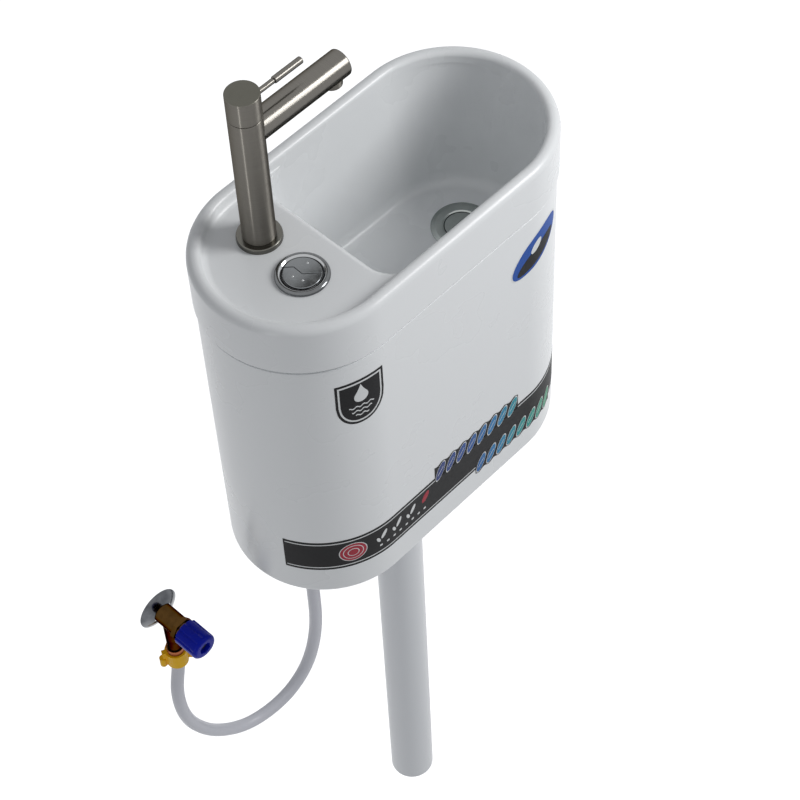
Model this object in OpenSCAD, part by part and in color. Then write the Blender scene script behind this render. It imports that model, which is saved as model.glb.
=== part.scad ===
// Wall-hung flush cistern whose lid is a small hand basin: tank, basin top, column tap,
// dual flush button with its linkage, flush valve, fill valve, flush pipe, supply hose and stop valve.
// Millimetres, +Z up, +Y into the wall. The origin is midway between the two wall bolts, on the wall.

/* [Tank and basin top] */
// Length of the basin top along the wall
top_len = 460; // [450:1:480]
// Depth of the basin top, from the wall to its front
top_depth = 232; // [228:1:240]
// Height of the tank below the joint line
tank_h = 418; // [412:1:440]
// Thickness of the tank's wall and floor
tank_wall = 4.5; // [4:0.1:5]
// How far the tank stands in from the basin top all round
tank_inset = 2.4; // [2:0.1:2.8]
// Radius of the tank's bottom edge
tank_foot_r = 8; // [7:0.5:9]
// Depth of the wall bolts below the joint line
bolt_drop = 60; // [56:1:64]
// Rise of the basin's rim above the joint line
rim_rise = 66.5; // [64:0.5:70]
// Width of the rolled rim
rim_w = 16; // [15.5:0.5:18]
// Radius of the rim's outer roll
rim_out_r = 9; // [7:0.5:9]
// Radius of the rim's inner roll
rim_in_r = 6; // [5:0.5:6]
// Thickness of the basin top's moulding
shell = 5; // [4.5:0.1:5.5]
// Depth of the flat deck below the rim
deck_drop = 13.5; // [12:0.5:15]
// Length of the deck end, from the left end to the bowl's edge
deck_len = 151; // [149:1:153]
// Radius of the deck's rolled edge over the bowl
ridge_r = 8; // [6:0.5:9]
// Depth of the bowl below the deck
bowl_depth = 167; // [160:1:172]
// Lean of the bowl's walls, in degrees
bowl_lean = 7; // [6.5:0.1:7]
// Radius between the bowl's walls and its floor
bowl_foot_r = 16; // [14:0.5:16]
// Least radius of the bowl's two deck-end corners at its floor, seen from above
bowl_corner_foot_r = 1.3; // [1.3:0.1:5]
// Depth of the locating lip that reaches into the tank
lip_h = 12; // [8:1:16]
// Thickness of the locating lip
lip_t = 3; // [2.5:0.1:3.5]
// Gap between the locating lip and the tank's wall
lip_gap = 0.4; // [0.3:0.1:0.5]

/* [Wall bolts] */
// Distance of each wall bolt from the end of the straight back
bolt_from_end = 24; // [20:1:28]
// Diameter of the wall bolts
bolt_d = 8; // [7:0.5:8]
// Length of each bolt behind the wall's face
bolt_reach = 45; // [35:1:50]
// How much thinner the bolts are inside the tank, on the radius
bolt_neck = 0.4; // [0.3:0.1:0.5]
// Width of the bolt heads across their flats
bolt_head_w = 13; // [12:0.5:14]
// Height of the bolt heads
bolt_head_h = 5.5; // [5:0.5:6]
// Thickness of the rubber and steel washers together
bolt_washer_h = 4; // [3:0.5:4]
// Diameter of the washers under the bolt heads
bolt_washer_d = 24; // [20:1:26]
// Diameter of the wall pads behind the tank
pad_d = 30; // [26:1:34]

/* [Tap] */
// Distance of the tap from the left end
tap_from_end = 103; // [101:1:105]
// Distance of the tap and the supply inlet behind the basin's middle line
tap_behind_mid = 45; // [43:1:47]
// Height of the tap above the deck
tap_h = 209.5; // [195:0.5:225]
// Diameter of the tap's column
column_d = 36; // [34:0.5:38]
// Wall of the tap's column and spout
column_wall = 2; // [1.6:0.1:2.4]
// Diameter of the ring under the column
tap_ring_d = 49.5; // [46:0.5:52]
// Height of the ring under the column
tap_ring_h = 6; // [5:0.5:8]
// Height of the turning cap
cap_h = 30; // [28:0.5:34]
// Groove between the cap and the column
cap_gap = 0.8; // [0.6:0.1:1]
// Diameter of the spout
spout_d = 31; // [29:0.5:31]
// Depth of the spout's axis below the tap's top
spout_drop = 56.5; // [54:0.5:62]
// Reach of the spout from the column's axis
spout_reach = 132; // [110:1:145]
// Diameter of the aerator
aerator_d = 23; // [21:0.5:24]
// How far the aerator stands out under the spout
aerator_h = 3.5; // [3:0.5:5]
// Diameter of the lever's grip
lever_d = 8; // [7:0.5:9]
// Reach of the lever from the column's axis
lever_reach = 79; // [70:1:90]
// Depth of the lever's axis below the tap's top
lever_drop = 14; // [10:0.5:16]
// Diameter of the tap's threaded shank
shank_d = 19; // [18:0.5:20]
// Length of the tap's shank below the deck
shank_len = 58; // [50:1:64]

/* [Flush button] */
// Distance of the flush button from the left end
button_from_end = 96; // [94:1:98]
// Distance of the flush button in front of the basin's middle line
button_before_mid = 24; // [22:1:26]
// Diameter of the button's ring
button_ring_d = 58; // [57:0.5:60]
// Diameter of the split button inside the ring
button_d = 41; // [40:0.5:42]
// Rise of the ring above the deck
button_rise = 4.4; // [4:0.1:6]
// Travel of each half of the button
button_travel = 5; // [4:0.1:5.2]
// Diameter of the threaded housing below the deck
housing_d = 46; // [45:0.5:47]
// Length of the housing below the deck
housing_len = 36; // [34:1:44]
// Diameter of the push rods
rod_d = 5; // [4:0.5:5.5]
// Diameter of the button springs' wire
spring_wire = 1; // [0.8:0.1:1.1]

/* [Flush valve] */
// Bore of the flush valve's seat
seat_d = 44; // [40:1:46]
// Outer diameter of the flush valve's threaded tail
tail_d = 48; // [47:0.5:49]
// Length of the tail below the tank
tail_len = 45; // [40:1:50]
// Outer diameter of the flush valve's cage
cage_d = 64; // [62:0.5:65]
// Wall of the flush valve's cage
cage_wall = 3; // [2.5:0.1:3.2]
// Top of the cage above the tank's floor
cage_h = 172; // [165:1:180]
// Outer diameter of the overflow tube
overflow_d = 24; // [22:0.5:25]
// Top of the overflow tube above the tank's floor
overflow_h = 241; // [236:1:246]
// Height of the rocker pivot above the tank's floor
pivot_h = 218.5; // [216:0.5:220]
// Distance from the full flush rod to the rocker pivot
full_arm = 35.2; // [34:0.1:36.5]
// Diameter of the rocker pivot pin
pivot_d = 5; // [4:0.5:5]

/* [Fill valve] */
// Distance from the inlet to the fill valve, along the wall
fill_offset = 36; // [34:1:38]
// Diameter of the fill valve's column
fill_column_d = 20; // [18:1:22]
// Outer diameter of the float cup
float_d = 50; // [46:1:52]
// Height of the float cup
float_h = 45; // [40:1:50]
// Travel of the float
float_travel = 12; // [8:1:12]
// Depth of the float's foot below the head of the fill valve
float_below = 68; // [66:1:70]
// Diameter of the riser to the tap
riser_d = 12; // [10:1:13]
// Distance of the supply inlet to the right of the riser
riser_offset = 15; // [14:0.5:16]
// Width of the riser's nuts across their flats
riser_nut_w = 24; // [23:0.5:26]

/* [Drain] */
// Distance of the drain from the right end
drain_from_end = 103; // [101:1:106]
// Diameter of the drain's flange
drain_d = 70; // [66:1:72]
// Bore of the drain
drain_bore_d = 40; // [36:1:41]
// Length of the drain's tail below the bowl's floor
drain_tail = 46; // [40:1:60]
// Gap round the flip plate in the drain
flap_gap = 1; // [0.8:0.1:1.2]

/* [Flush pipe] */
// Outer diameter of the flush pipe
pipe_d = 60; // [58:0.5:61]
// Wall of the flush pipe
pipe_wall = 2.5; // [2.2:0.1:2.8]
// Length of the flush pipe below the tank
pipe_len = 775; // [600:5:1000]

/* [Supply] */
// Outer diameter of the supply hose
hose_d = 17; // [16:0.5:18]
// Diameter of the inlet's threaded shank under the tank
inlet_d = 20.6; // [20:0.1:21]
// Distance of the stop valve to the left of the wall bolts' middle
stop_x = 299; // [295:1:303]
// Depth of the stop valve's axis below the wall bolts
stop_drop = 481; // [476:1:486]
// Diameter of the wall rosette
rosette_d = 57; // [54:1:62]
// Depth of the wall rosette
rosette_h = 9; // [7:0.5:11]
// Diameter of the stop valve's body
stop_d = 26; // [25:0.5:27]
// Distance of the stop valve's outlet from the wall
outlet_y = 20; // [19:0.5:21]
// Length of the stop valve's threaded tail in the wall
stop_tail = 8.5; // [8:0.5:12]
// Diameter of the hand knob
knob_d = 35; // [32:0.5:38]
// Length of the hand knob
knob_h = 35; // [32:1:40]

/* [Hidden] */

$fn = 72;
// Overlap of solids that are one moulding
eps = 0.5;
// Running clearance of a pin in its bore, on the radius
pin_fit = 0.05;
// Clearance of a part that slides past another, on the radius
slide_gap = 0.4;
// Clearance between a rod's tip and the lever that it moves
touch = 0.3;

// Levels
part_z = bolt_drop;
rim_z = part_z + rim_rise;
deck_z = rim_z - deck_drop;
bowl_z = deck_z - bowl_depth;
tank_z = part_z - tank_h;
floor_z = tank_z + tank_wall;

// Plan of the basin top
mid_y = -top_depth / 2;
end_r = top_depth / 2;
arc_x = top_len / 2 - end_r;
bolt_x = arc_x - bolt_from_end;
bowl_r = end_r - rim_w;
ridge_x = deck_len - top_len / 2;

// Section of the bowl's wall
lean_s = sin(bowl_lean);
lean_c = cos(bowl_lean);
wall_run = (bowl_depth - bowl_foot_r + bowl_foot_r * lean_s) / lean_c;
foot_d = wall_run * lean_s + bowl_foot_r * lean_c;
bowl_corner_r = ceil(foot_d + bowl_corner_foot_r);
corner_x = ridge_x + bowl_corner_r;
corner_y = bowl_r - bowl_corner_r;
foot_z = bowl_z + bowl_foot_r;
ridge_c = ridge_r * (1 - lean_s) / lean_c;
outer_x = shell * (1 - lean_s) / lean_c;
rib_h = 6;
rib_slope = 2;

// Tap
tap_x = tap_from_end - top_len / 2;
tap_y = mid_y + tap_behind_mid;
tap_z = deck_z + tap_h;
cap_z = tap_z - cap_h;
spout_z = tap_z - spout_drop;
tip_x = tap_x + spout_reach;
aerator_x = tip_x - aerator_d / 2 - 4;
lever_z = tap_z - lever_drop;
lever_neck_d = lever_d - 2;
lever_neck = 22;
lever_socket = 8;
column_in_r = column_d / 2 - column_wall;
cartridge_r = column_in_r - pin_fit;
ring_z = deck_z + tap_ring_h;
shank_z = deck_z - shank_len;
shank_bore_d = 9;
tap_washer_h = 3;
tap_nut_h = 10;
tap_nut_w = 32;

// Flush button: the halves part along a line turned from the wall
button_x = button_from_end - top_len / 2;
button_y = mid_y - button_before_mid;
button_top = deck_z + button_rise;
button_turn = -44;
stem_off = 9.2;
split_high = 0.42;
split_low = -0.06;
split_dip = 0.3;
boss_r = 3.6;
boss_h = 8;
full_x = button_x + stem_off * sin(button_turn);
full_y = button_y - stem_off * cos(button_turn);
half_x = button_x - stem_off * sin(button_turn);
half_y = button_y + stem_off * cos(button_turn);
button_t = 3;
split_gap = 0.5;
button_gap = 0.6;
housing_z = deck_z - housing_len;
housing_wall = 2.5;
housing_floor = 3;
button_nut_h = 8;
button_nut_d = 58;
housing_r = housing_d / 2;
bore_r = button_d / 2 + button_gap;
plate_z = button_top - 0.4 - button_t;
spring_r = 4.6;
spring_turns = 7;
spring_play = 0.15;

// Flush valve
valve_y = mid_y;
gasket_h = 3;
flange_h = 4;
flange_z = floor_z + gasket_h;
flange_r = 37;
seat_z = flange_z + 12;
cage_z = floor_z + cage_h;
cage_in_r = cage_d / 2 - cage_wall;
tail_z = tank_z - tail_len;
flush_nut_h = 12;
flush_nut_w = 64;
seal_h = 3;
seal_d = 2 * cage_in_r - 3;
holder_h = 4;
overflow_r = overflow_d / 2;
overflow_wall = 1.6;
overflow_z = floor_z + overflow_h;
bridge_h = 6;
pivot_z = floor_z + pivot_h;
pivot_x = full_x + full_arm;
rocker_h = 10;
rocker_t = 4;
rocker_r = rocker_h / 2;
cross_r = 3;
collar_r = 22;
collar_h = 4;
collar_z = pivot_z + cross_r + touch;
web_y = (full_y + half_y) / 2;
web_t = 3.6;
hook_x = -42;
hook_y = half_y + 6.5;
half_float_r = 9;
half_float_h = 40;
half_stem_r = 2.5;
half_head_r = 8;
rod_r = rod_d / 2;
pad_z = pivot_z + rocker_r + touch;

// Fill valve
inlet_x = tap_x + riser_offset;
fill_x = inlet_x + fill_offset;
manifold_z = floor_z + 21.5;
manifold_r = 9;
socket_z = manifold_z + 19;
inlet_bore_r = 6;
riser_bore_r = riser_d / 2 - 2;
fill_wall = 2.5;
head_z = pivot_z + 17;
head_h = 13;
head_r = 16;
float_z = head_z - float_below;
arm_reach = 38;
link_y = tap_y - float_d / 2 + 3.5;
arm_y = link_y + arm_reach;
arm_z = head_z + head_h + 14;
arm_t = 6;
arm_ear = 4;
arm_gap = 0.5;
arm_pin_r = 1.5;
link_r = 2;

// Drain
drain_x = top_len / 2 - drain_from_end;
drain_flange_h = 2.5;
drain_tail_d = 44;
drain_tail_z = bowl_z - shell - drain_tail;
drain_washer_h = 3;
drain_nut_h = 10;
drain_nut_w = 62;
flap_t = 2.5;
flap_hub_r = 3;
flap_pin_r = 2;
flap_axis_z = bowl_z - 3;

// Supply hose and stop valve
inlet_tail_z = tank_z - 26;
inlet_nut_h = 8;
inlet_nut_w = 30;
inlet_washer_r = 16;
hose_nut_h = 22;
hose_nut_z = inlet_tail_z - 5;
hose_top_z = hose_nut_z;
stop_z = -stop_drop;
outlet_r = 9.5;
outlet_drop = 78;
outlet_z = stop_z - outlet_drop;
outlet_bore_r = 6;
wing_h = 25;
wing_z = outlet_z - 20;
wing_r = 14;
wing_ear_r = 4.5;
wing_reach = 18;
wing_turn = -25;
collar_top = 9;
hose_bottom_z = wing_z;
barrel_end = 47;
stem_r = 4;
knob_start = 49;
knob_skirt = 12;
flutes = 9;
flute_r = 4;

// Route of the supply hose: down from the stop valve's nut to the foot of the loop, and up to the tank's inlet
valve_leg = [[0, 0, 0], [0, 0, -3.5], [-0.7, 0, -12], [-3, -0.5, -22], [-6.8, -1.2, -34],
    [-10.8, -2.3, -48], [-13.2, -3.5, -64], [-14, -4.5, -82], [-13.5, -5.5, -99], [-11.5, -6.5, -117],
    [-5, -8.5, -143], [5, -11, -166], [18, -14, -188], [34, -16.5, -207], [53, -19.5, -223]];
inlet_leg = [[-121, 29.5, -420.5], [-107, 27, -425], [-92, 24.5, -426], [-77, 21.5, -423.5],
    [-63, 18.5, -417.5], [-50.5, 15.5, -409], [-40, 13, -398], [-31, 10.5, -385.5],
    [-23.5, 8.5, -372], [-17.5, 6.5, -357.5], [-11, 4.5, -336], [-6, 3, -313], [-2.5, 1.5, -287],
    [-0.5, 0.5, -259], [0, 0, -231], [0, 0, -190], [0, 0, -145], [0, 0, -100], [0, 0, -50],
    [0, 0, -15], [0, 0, 0]];
HOSE = concat([for (p = valve_leg) p + [-stop_x, -outlet_y, hose_bottom_z]],
    [for (p = inlet_leg) p + [inlet_x, tap_y, hose_top_z]]);
hose_sides = 12;

// Points of an arc from angle a to angle b
function arc(x, y, r, a, b, n) = [for (i = [0 : n]) [x + r * cos(a + (b - a) * i / n),
    y + r * sin(a + (b - a) * i / n)]];

// Sweeps a section round a stadium outline. In the section, X is 0 on the outline, negative inward
module stadium_ring(half_l, r) {
    for (s = [0, 1])
        mirror([s, 0, 0])
            translate([half_l, 0, 0])
                rotate([0, 0, -90])
                    rotate_extrude(angle = 180)
                        translate([r, 0])
                            children();
    for (s = [0, 1])
        mirror([0, s, 0])
            translate([-half_l, 0, 0])
                rotate([90, 0, 90])
                    linear_extrude(2 * half_l)
                        translate([r, 0])
                            children();
}

// Flat stadium plate whose top lies at z, drawn in by d from the basin top's outline
module stadium_plate(d, z, t) {
    translate([0, mid_y, z - t])
        linear_extrude(t)
            stadium(end_r - d);
}

module stadium(r) {
    square([2 * arc_x, 2 * r], center = true);
    for (s = [-1, 1])
        translate([s * arc_x, 0])
            circle(r);
}

// Outline of the bowl, drawn in by d, with its deck-end corners and round far end
module bowl_outline(d) {
    translate([arc_x, mid_y])
        circle(bowl_r - d);
    translate([corner_x, mid_y - bowl_r + d])
        square([arc_x - corner_x, 2 * (bowl_r - d)]);
    translate([ridge_x + d, mid_y - corner_y])
        square([bowl_corner_r - d + eps, 2 * corner_y]);
    for (s = [-1, 1])
        translate([corner_x, mid_y + s * corner_y])
            circle(bowl_corner_r - d);
}

function bowl_inside() = arc(-foot_d, foot_z, bowl_foot_r, -bowl_lean, -90, 6);

function bowl_outside() = arc(-foot_d, foot_z, bowl_foot_r + shell, -90, -bowl_lean, 6);

// Section of the bowl's wall under the rim
module bowl_side() {
    polygon(concat([[0, deck_z]], bowl_inside(), bowl_outside(), [[outer_x, deck_z - shell], [outer_x, deck_z]]));
}

// Section of the bowl's wall under the deck, with the deck's rolled edge
module bowl_ridge() {
    roll = arc(ridge_c, deck_z - ridge_r, ridge_r, 90, 180 - bowl_lean, 6);
    polygon(concat(roll, bowl_inside(), bowl_outside(),
        [[outer_x, deck_z - shell], [ridge_c, deck_z - shell]]));
}

// Quarter turns and straight of the bowl's deck end
module bowl_deck_end() {
    for (s = [0, 1])
        translate([corner_x, mid_y, 0])
            mirror([0, s, 0])
                translate([0, corner_y, 0])
                    rotate([0, 0, 90])
                        rotate_extrude(angle = 90)
                            translate([bowl_corner_r, 0])
                                bowl_ridge();
    translate([ridge_x, mid_y + corner_y, 0])
        rotate([90, 0, 0])
            linear_extrude(2 * corner_y)
                mirror([1, 0])
                    bowl_ridge();
}

// Straight sides and round far end of the bowl
module bowl_sides() {
    translate([arc_x, mid_y, 0])
        rotate([0, 0, -90])
            rotate_extrude(angle = 180)
                translate([bowl_r, 0])
                    bowl_side();
    for (s = [0, 1])
        translate([corner_x, mid_y, 0])
            mirror([0, s, 0])
                rotate([90, 0, 90])
                    linear_extrude(arc_x - corner_x)
                        translate([bowl_r, 0])
                            bowl_side();
}

// Section of the rim, the skirt and the lip that locates the top on the tank
module rim_section() {
    lip_out = tank_inset + tank_wall + lip_gap;
    polygon(concat([[0, part_z]],
        arc(-rim_out_r, rim_z - rim_out_r, rim_out_r, 0, 90, 7),
        arc(-rim_w + rim_in_r, rim_z - rim_in_r, rim_in_r, 90, 180, 6),
        [[-rim_w, deck_z - shell], [-shell, deck_z - shell - (rim_w - shell)],
        [-shell, part_z + rib_h], [-lip_out - lip_t, part_z + rib_h - rib_slope],
        [-lip_out - lip_t, part_z - lip_h], [-lip_out, part_z - lip_h], [-lip_out, part_z]]));
}

// Section of the tank's wall with its rounded foot
module tank_section() {
    foot_x = -tank_inset - tank_foot_r;
    polygon(concat([[-tank_inset, part_z]],
        arc(foot_x, tank_z + tank_foot_r, tank_foot_r, 0, -90, 6),
        [[foot_x - eps, tank_z], [foot_x - eps, floor_z]],
        arc(foot_x, tank_z + tank_foot_r, tank_foot_r - tank_wall, -90, 0, 4),
        [[-tank_inset - tank_wall, part_z]]));
}

// Tube that stands on z
module tube(r, bore, z, h) {
    translate([0, 0, z])
        difference() {
            cylinder(r = r, h = h);
            translate([0, 0, -eps])
                cylinder(r = bore, h = h + 2 * eps);
        }
}

// Hexagon nut that stands on z, measured across its flats
module hex_nut(width, bore, z, h) {
    translate([0, 0, z])
        difference() {
            cylinder(d = width / cos(30), h = h, $fn = 6);
            translate([0, 0, -eps])
                cylinder(r = bore, h = h + 2 * eps);
        }
}

// Moves to each wall bolt, with +Z turned into the room
module at_bolts() {
    for (s = [-1, 1])
        translate([s * bolt_x, 0, 0])
            rotate([90, 0, 0])
                children();
}

module cistern_tank() {
    color("white")
        difference() {
            union() {
                translate([0, mid_y, 0])
                    stadium_ring(arc_x, end_r)
                        tank_section();
                stadium_plate(tank_inset + tank_foot_r, floor_z, tank_wall);
                at_bolts()
                    cylinder(d = bolt_washer_d + 4, h = tank_inset + eps);
            }
            at_bolts()
                translate([0, 0, -eps])
                    cylinder(r = bolt_d / 2 + slide_gap, h = tank_inset + tank_wall + 2 * eps);
            translate([0, valve_y, tank_z - eps])
                cylinder(r = tail_d / 2 + slide_gap, h = tank_wall + 2 * eps);
            translate([inlet_x, tap_y, tank_z - eps])
                cylinder(r = inlet_d / 2 + slide_gap, h = tank_wall + 2 * eps);
        }
}

module wall_pads() {
    color("dimgray")
        for (s = [-1, 1])
            translate([s * bolt_x, 0, tank_z + tank_foot_r + pad_d])
                rotate([90, 0, 0])
                    cylinder(d = pad_d, h = tank_inset);
}

module wall_bolts() {
    head_y = tank_inset + tank_wall + bolt_washer_h;
    color("silver")
        at_bolts() {
            translate([0, 0, -bolt_reach])
                cylinder(d = bolt_d, h = bolt_reach);
            translate([0, 0, -eps])
                cylinder(d = bolt_d - 2 * bolt_neck, h = head_y + 2 * eps);
            translate([0, 0, head_y])
                cylinder(d = bolt_head_w / cos(30), h = bolt_head_h, $fn = 6);
        }
}

module bolt_washers() {
    color("dimgray")
        at_bolts()
            tube(bolt_washer_d / 2, bolt_d / 2 + slide_gap / 2, tank_inset + tank_wall, bolt_washer_h);
}

// Flat deck at the tap end, cut round the bowl's rolled edge
module deck_plate() {
    translate([0, 0, deck_z - shell])
        linear_extrude(shell)
            difference() {
                intersection() {
                    translate([0, mid_y])
                        stadium(bowl_r + 1);
                    translate([-top_len / 2, -top_depth])
                        square([top_len / 2 + corner_x, top_depth]);
                }
                bowl_outline(-ridge_c);
            }
}

module basin_top() {
    color("white")
        difference() {
            union() {
                translate([0, mid_y, 0])
                    stadium_ring(arc_x, end_r)
                        rim_section();
                deck_plate();
                bowl_deck_end();
                bowl_sides();
                translate([0, 0, bowl_z - shell])
                    linear_extrude(shell)
                        bowl_outline(foot_d);
            }
            translate([tap_x, tap_y, deck_z - 2 * shell])
                cylinder(r = shank_d / 2 + slide_gap, h = 3 * shell);
            translate([button_x, button_y, deck_z - 2 * shell])
                cylinder(r = housing_r + slide_gap, h = 3 * shell);
            translate([drain_x, mid_y, bowl_z - 2 * shell])
                cylinder(d = drain_tail_d + 2 * slide_gap, h = 3 * shell);
        }
}

module drain_flange() {
    flange_r = drain_d / 2;
    bore = drain_bore_d / 2;
    color("silver")
        translate([drain_x, mid_y, 0])
            difference() {
                rotate_extrude()
                    polygon([[bore, drain_tail_z], [drain_tail_d / 2, drain_tail_z],
                        [drain_tail_d / 2, bowl_z], [flange_r, bowl_z], [flange_r, bowl_z + 0.8],
                        [flange_r - 2, bowl_z + drain_flange_h - 0.3],
                        [flange_r - 5, bowl_z + drain_flange_h], [bore + 1, bowl_z + drain_flange_h],
                        [bore, bowl_z + drain_flange_h - 1]]);
                translate([0, drain_d / 2, flap_axis_z])
                    rotate([90, 0, 0])
                        cylinder(r = flap_pin_r + pin_fit, h = drain_d);
            }
}

module drain_gasket() {
    color("dimgray")
        translate([drain_x, mid_y, 0])
            tube(drain_nut_w / 2, drain_tail_d / 2 + pin_fit, bowl_z - shell - drain_washer_h,
                drain_washer_h);
}

module drain_nut() {
    color("white")
        translate([drain_x, mid_y, 0])
            hex_nut(drain_nut_w, drain_tail_d / 2 + pin_fit,
                bowl_z - shell - drain_washer_h - drain_nut_h, drain_nut_h);
}

module drain_flap() {
    flap_r = drain_bore_d / 2 - flap_gap;
    color("silver")
        translate([drain_x, mid_y, 0])
            difference() {
                union() {
                    translate([0, 0, bowl_z + drain_flange_h - 1 - flap_t])
                        cylinder(r = flap_r, h = flap_t);
                    translate([0, flap_r - 3, flap_axis_z])
                        rotate([90, 0, 0])
                            cylinder(r = flap_hub_r, h = 2 * (flap_r - 3));
                }
                translate([0, drain_d / 2, flap_axis_z])
                    rotate([90, 0, 0])
                        cylinder(r = flap_pin_r, h = drain_d);
            }
}

module drain_pin() {
    half = drain_tail_d / 2 - slide_gap;
    color("gray")
        translate([drain_x, mid_y + half, flap_axis_z])
            rotate([90, 0, 0])
                cylinder(r = flap_pin_r, h = 2 * half);
}

module tap_ring() {
    r = tap_ring_d / 2;
    bore = shank_d / 2 + slide_gap;
    color("silver")
        translate([tap_x, tap_y, 0])
            rotate_extrude()
                polygon(concat([[bore, ring_z], [bore, deck_z], [r, deck_z]],
                    arc(r - 2, ring_z - 2, 2, 0, 90, 4)));
}

module tap_column() {
    plug_h = 12;
    color("silver")
        translate([tap_x, tap_y, 0])
            difference() {
                translate([0, 0, ring_z])
                    cylinder(d = column_d, h = cap_z - cap_gap - ring_z);
                translate([0, 0, ring_z + plug_h])
                    cylinder(r = column_in_r, h = tap_h);
                translate([0, 0, ring_z - eps])
                    cylinder(r = shank_d / 2 + pin_fit, h = plug_h + 2 * eps);
                translate([0, 0, spout_z])
                    rotate([0, 90, 0])
                        cylinder(r = spout_d / 4, h = column_d);
            }
}

module tap_spout() {
    r = spout_d / 2;
    color("silver")
        difference() {
            translate([tap_x, tap_y, spout_z])
                rotate([0, 90, 0])
                    rotate_extrude()
                        polygon(concat([[0, 0], [r, 0]], arc(r - 2, spout_reach - 2, 2, 0, 90, 4),
                            [[0, spout_reach]]));
            translate([tap_x, tap_y, spout_z])
                rotate([0, 90, 0])
                    cylinder(r = r - column_wall, h = spout_reach - column_wall);
            translate([tap_x, tap_y, spout_z - spout_d])
                cylinder(d = column_d, h = 2 * spout_d);
            translate([aerator_x, tap_y, spout_z - spout_d])
                cylinder(r = aerator_d / 2 + pin_fit, h = spout_d);
        }
}

module tap_aerator() {
    r = aerator_d / 2;
    low_z = spout_z - spout_d / 2 - aerator_h;
    color("gainsboro")
        translate([aerator_x, tap_y, low_z])
            difference() {
                cylinder(r = r, h = aerator_h + 6);
                translate([0, 0, -eps])
                    cylinder(r = r - 2, h = 2 + eps);
                for (a = [0 : 60 : 300])
                    rotate([0, 0, a])
                        translate([r / 2, 0, 0])
                            cylinder(r = 1.6, h = aerator_h + 7);
            }
}

module tap_cartridge() {
    depth = 30;
    color("goldenrod")
        translate([tap_x, tap_y, 0])
            tube(cartridge_r, 5 + pin_fit, cap_z - cap_gap - depth, depth);
}

module tap_cap() {
    spigot_r = 5;
    spigot_h = 16;
    color("silver")
        translate([tap_x, tap_y, 0])
            difference() {
                union() {
                    rotate_extrude()
                        polygon(concat([[0, cap_z], [column_d / 2, cap_z]],
                            arc(column_d / 2 - 1, tap_z - 1, 1, 0, 90, 3), [[0, tap_z]]));
                    translate([0, 0, cap_z - spigot_h])
                        cylinder(r = spigot_r, h = spigot_h + eps);
                }
                translate([column_d / 2 - lever_socket, 0, lever_z])
                    rotate([0, 90, 0])
                        cylinder(r = lever_neck_d / 2 + pin_fit, h = column_d);
            }
}

module tap_lever() {
    root = column_d / 2 - lever_socket;
    step = column_d / 2 + lever_neck;
    color("silver")
        translate([tap_x, tap_y, lever_z])
            rotate([0, 90, 0])
                rotate_extrude()
                    polygon(concat([[0, root], [lever_neck_d / 2, root], [lever_neck_d / 2, step],
                        [lever_neck_d / 2 - 0.6, step], [lever_neck_d / 2 - 0.6, step + 1],
                        [lever_d / 2, step + 1.4]],
                        arc(lever_d / 2 - 1, lever_reach - 1, 1, 0, 90, 3), [[0, lever_reach]]));
}

module tap_shank() {
    color("goldenrod")
        translate([tap_x, tap_y, 0])
            tube(shank_d / 2, shank_bore_d / 2, shank_z, shank_len + tap_ring_h + 10);
}

module tap_washer() {
    color("dimgray")
        translate([tap_x, tap_y, 0])
            tube(tap_nut_w / 2, shank_d / 2 + pin_fit, deck_z - shell - tap_washer_h, tap_washer_h);
}

module tap_nut() {
    color("goldenrod")
        translate([tap_x, tap_y, 0])
            hex_nut(tap_nut_w, shank_d / 2 + pin_fit, deck_z - shell - tap_washer_h - tap_nut_h,
                tap_nut_h);
}

module tap_riser() {
    color("white")
        translate([tap_x, tap_y, 0])
            tube(riser_d / 2, riser_bore_r, socket_z, shank_z - socket_z);
}

// Cup-shaped union nut: a thread of one radius at one end, the pipe's radius at the other
module union_nut(width, thread_r, pipe_r, h) {
    difference() {
        cylinder(d = width / cos(30), h = h, $fn = 6);
        translate([0, 0, -eps])
            cylinder(r = pipe_r, h = h + 2 * eps);
        translate([0, 0, 4])
            cylinder(r = thread_r, h = h);
    }
}

module riser_nuts() {
    low_r = manifold_r + pin_fit;
    high_r = shank_d / 2 + pin_fit;
    pipe_r = riser_d / 2 + pin_fit;
    color("goldenrod")
        translate([tap_x, tap_y, 0]) {
            translate([0, 0, socket_z + 4])
                mirror([0, 0, 1])
                    union_nut(riser_nut_w, low_r, pipe_r, 14);
            translate([0, 0, shank_z - 4])
                union_nut(riser_nut_w, high_r, pipe_r, 14);
        }
}

module button_housing() {
    r = button_ring_d / 2;
    color("silver")
        translate([button_x, button_y, 0])
            difference() {
                rotate_extrude()
                    polygon(concat([[0, housing_z], [housing_r, housing_z], [housing_r, deck_z],
                        [r, deck_z], [r, deck_z + 1]],
                        arc(r - 3, button_top - 3, 3, 20, 90, 4),
                        [[bore_r + 1, button_top], [bore_r, button_top - 0.7],
                        [bore_r, housing_z + housing_floor], [0, housing_z + housing_floor]]));
                for (s = [-1, 1])
                    rotate([0, 0, button_turn])
                        translate([0, s * stem_off, housing_z - eps])
                            cylinder(r = rod_r + slide_gap, h = housing_floor + 2 * eps);
            }
}

module button_nut() {
    color("white")
        translate([button_x, button_y, 0])
            tube(button_nut_d / 2, housing_r + pin_fit, deck_z - shell - button_nut_h, button_nut_h);
}

// Flat outline of the button's near half: the far side is a step that dips in the middle
module button_near_half(shift) {
    r = button_d / 2;
    intersection() {
        circle(r);
        polygon([[-2 * r, -2 * r], [2 * r, -2 * r], [2 * r, split_low * r + shift],
            [split_dip * r, split_low * r + shift], [0, split_low * r + shift],
            [-split_high * r, split_high * r + shift], [-2 * r, split_high * r + shift]]);
    }
}

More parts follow.
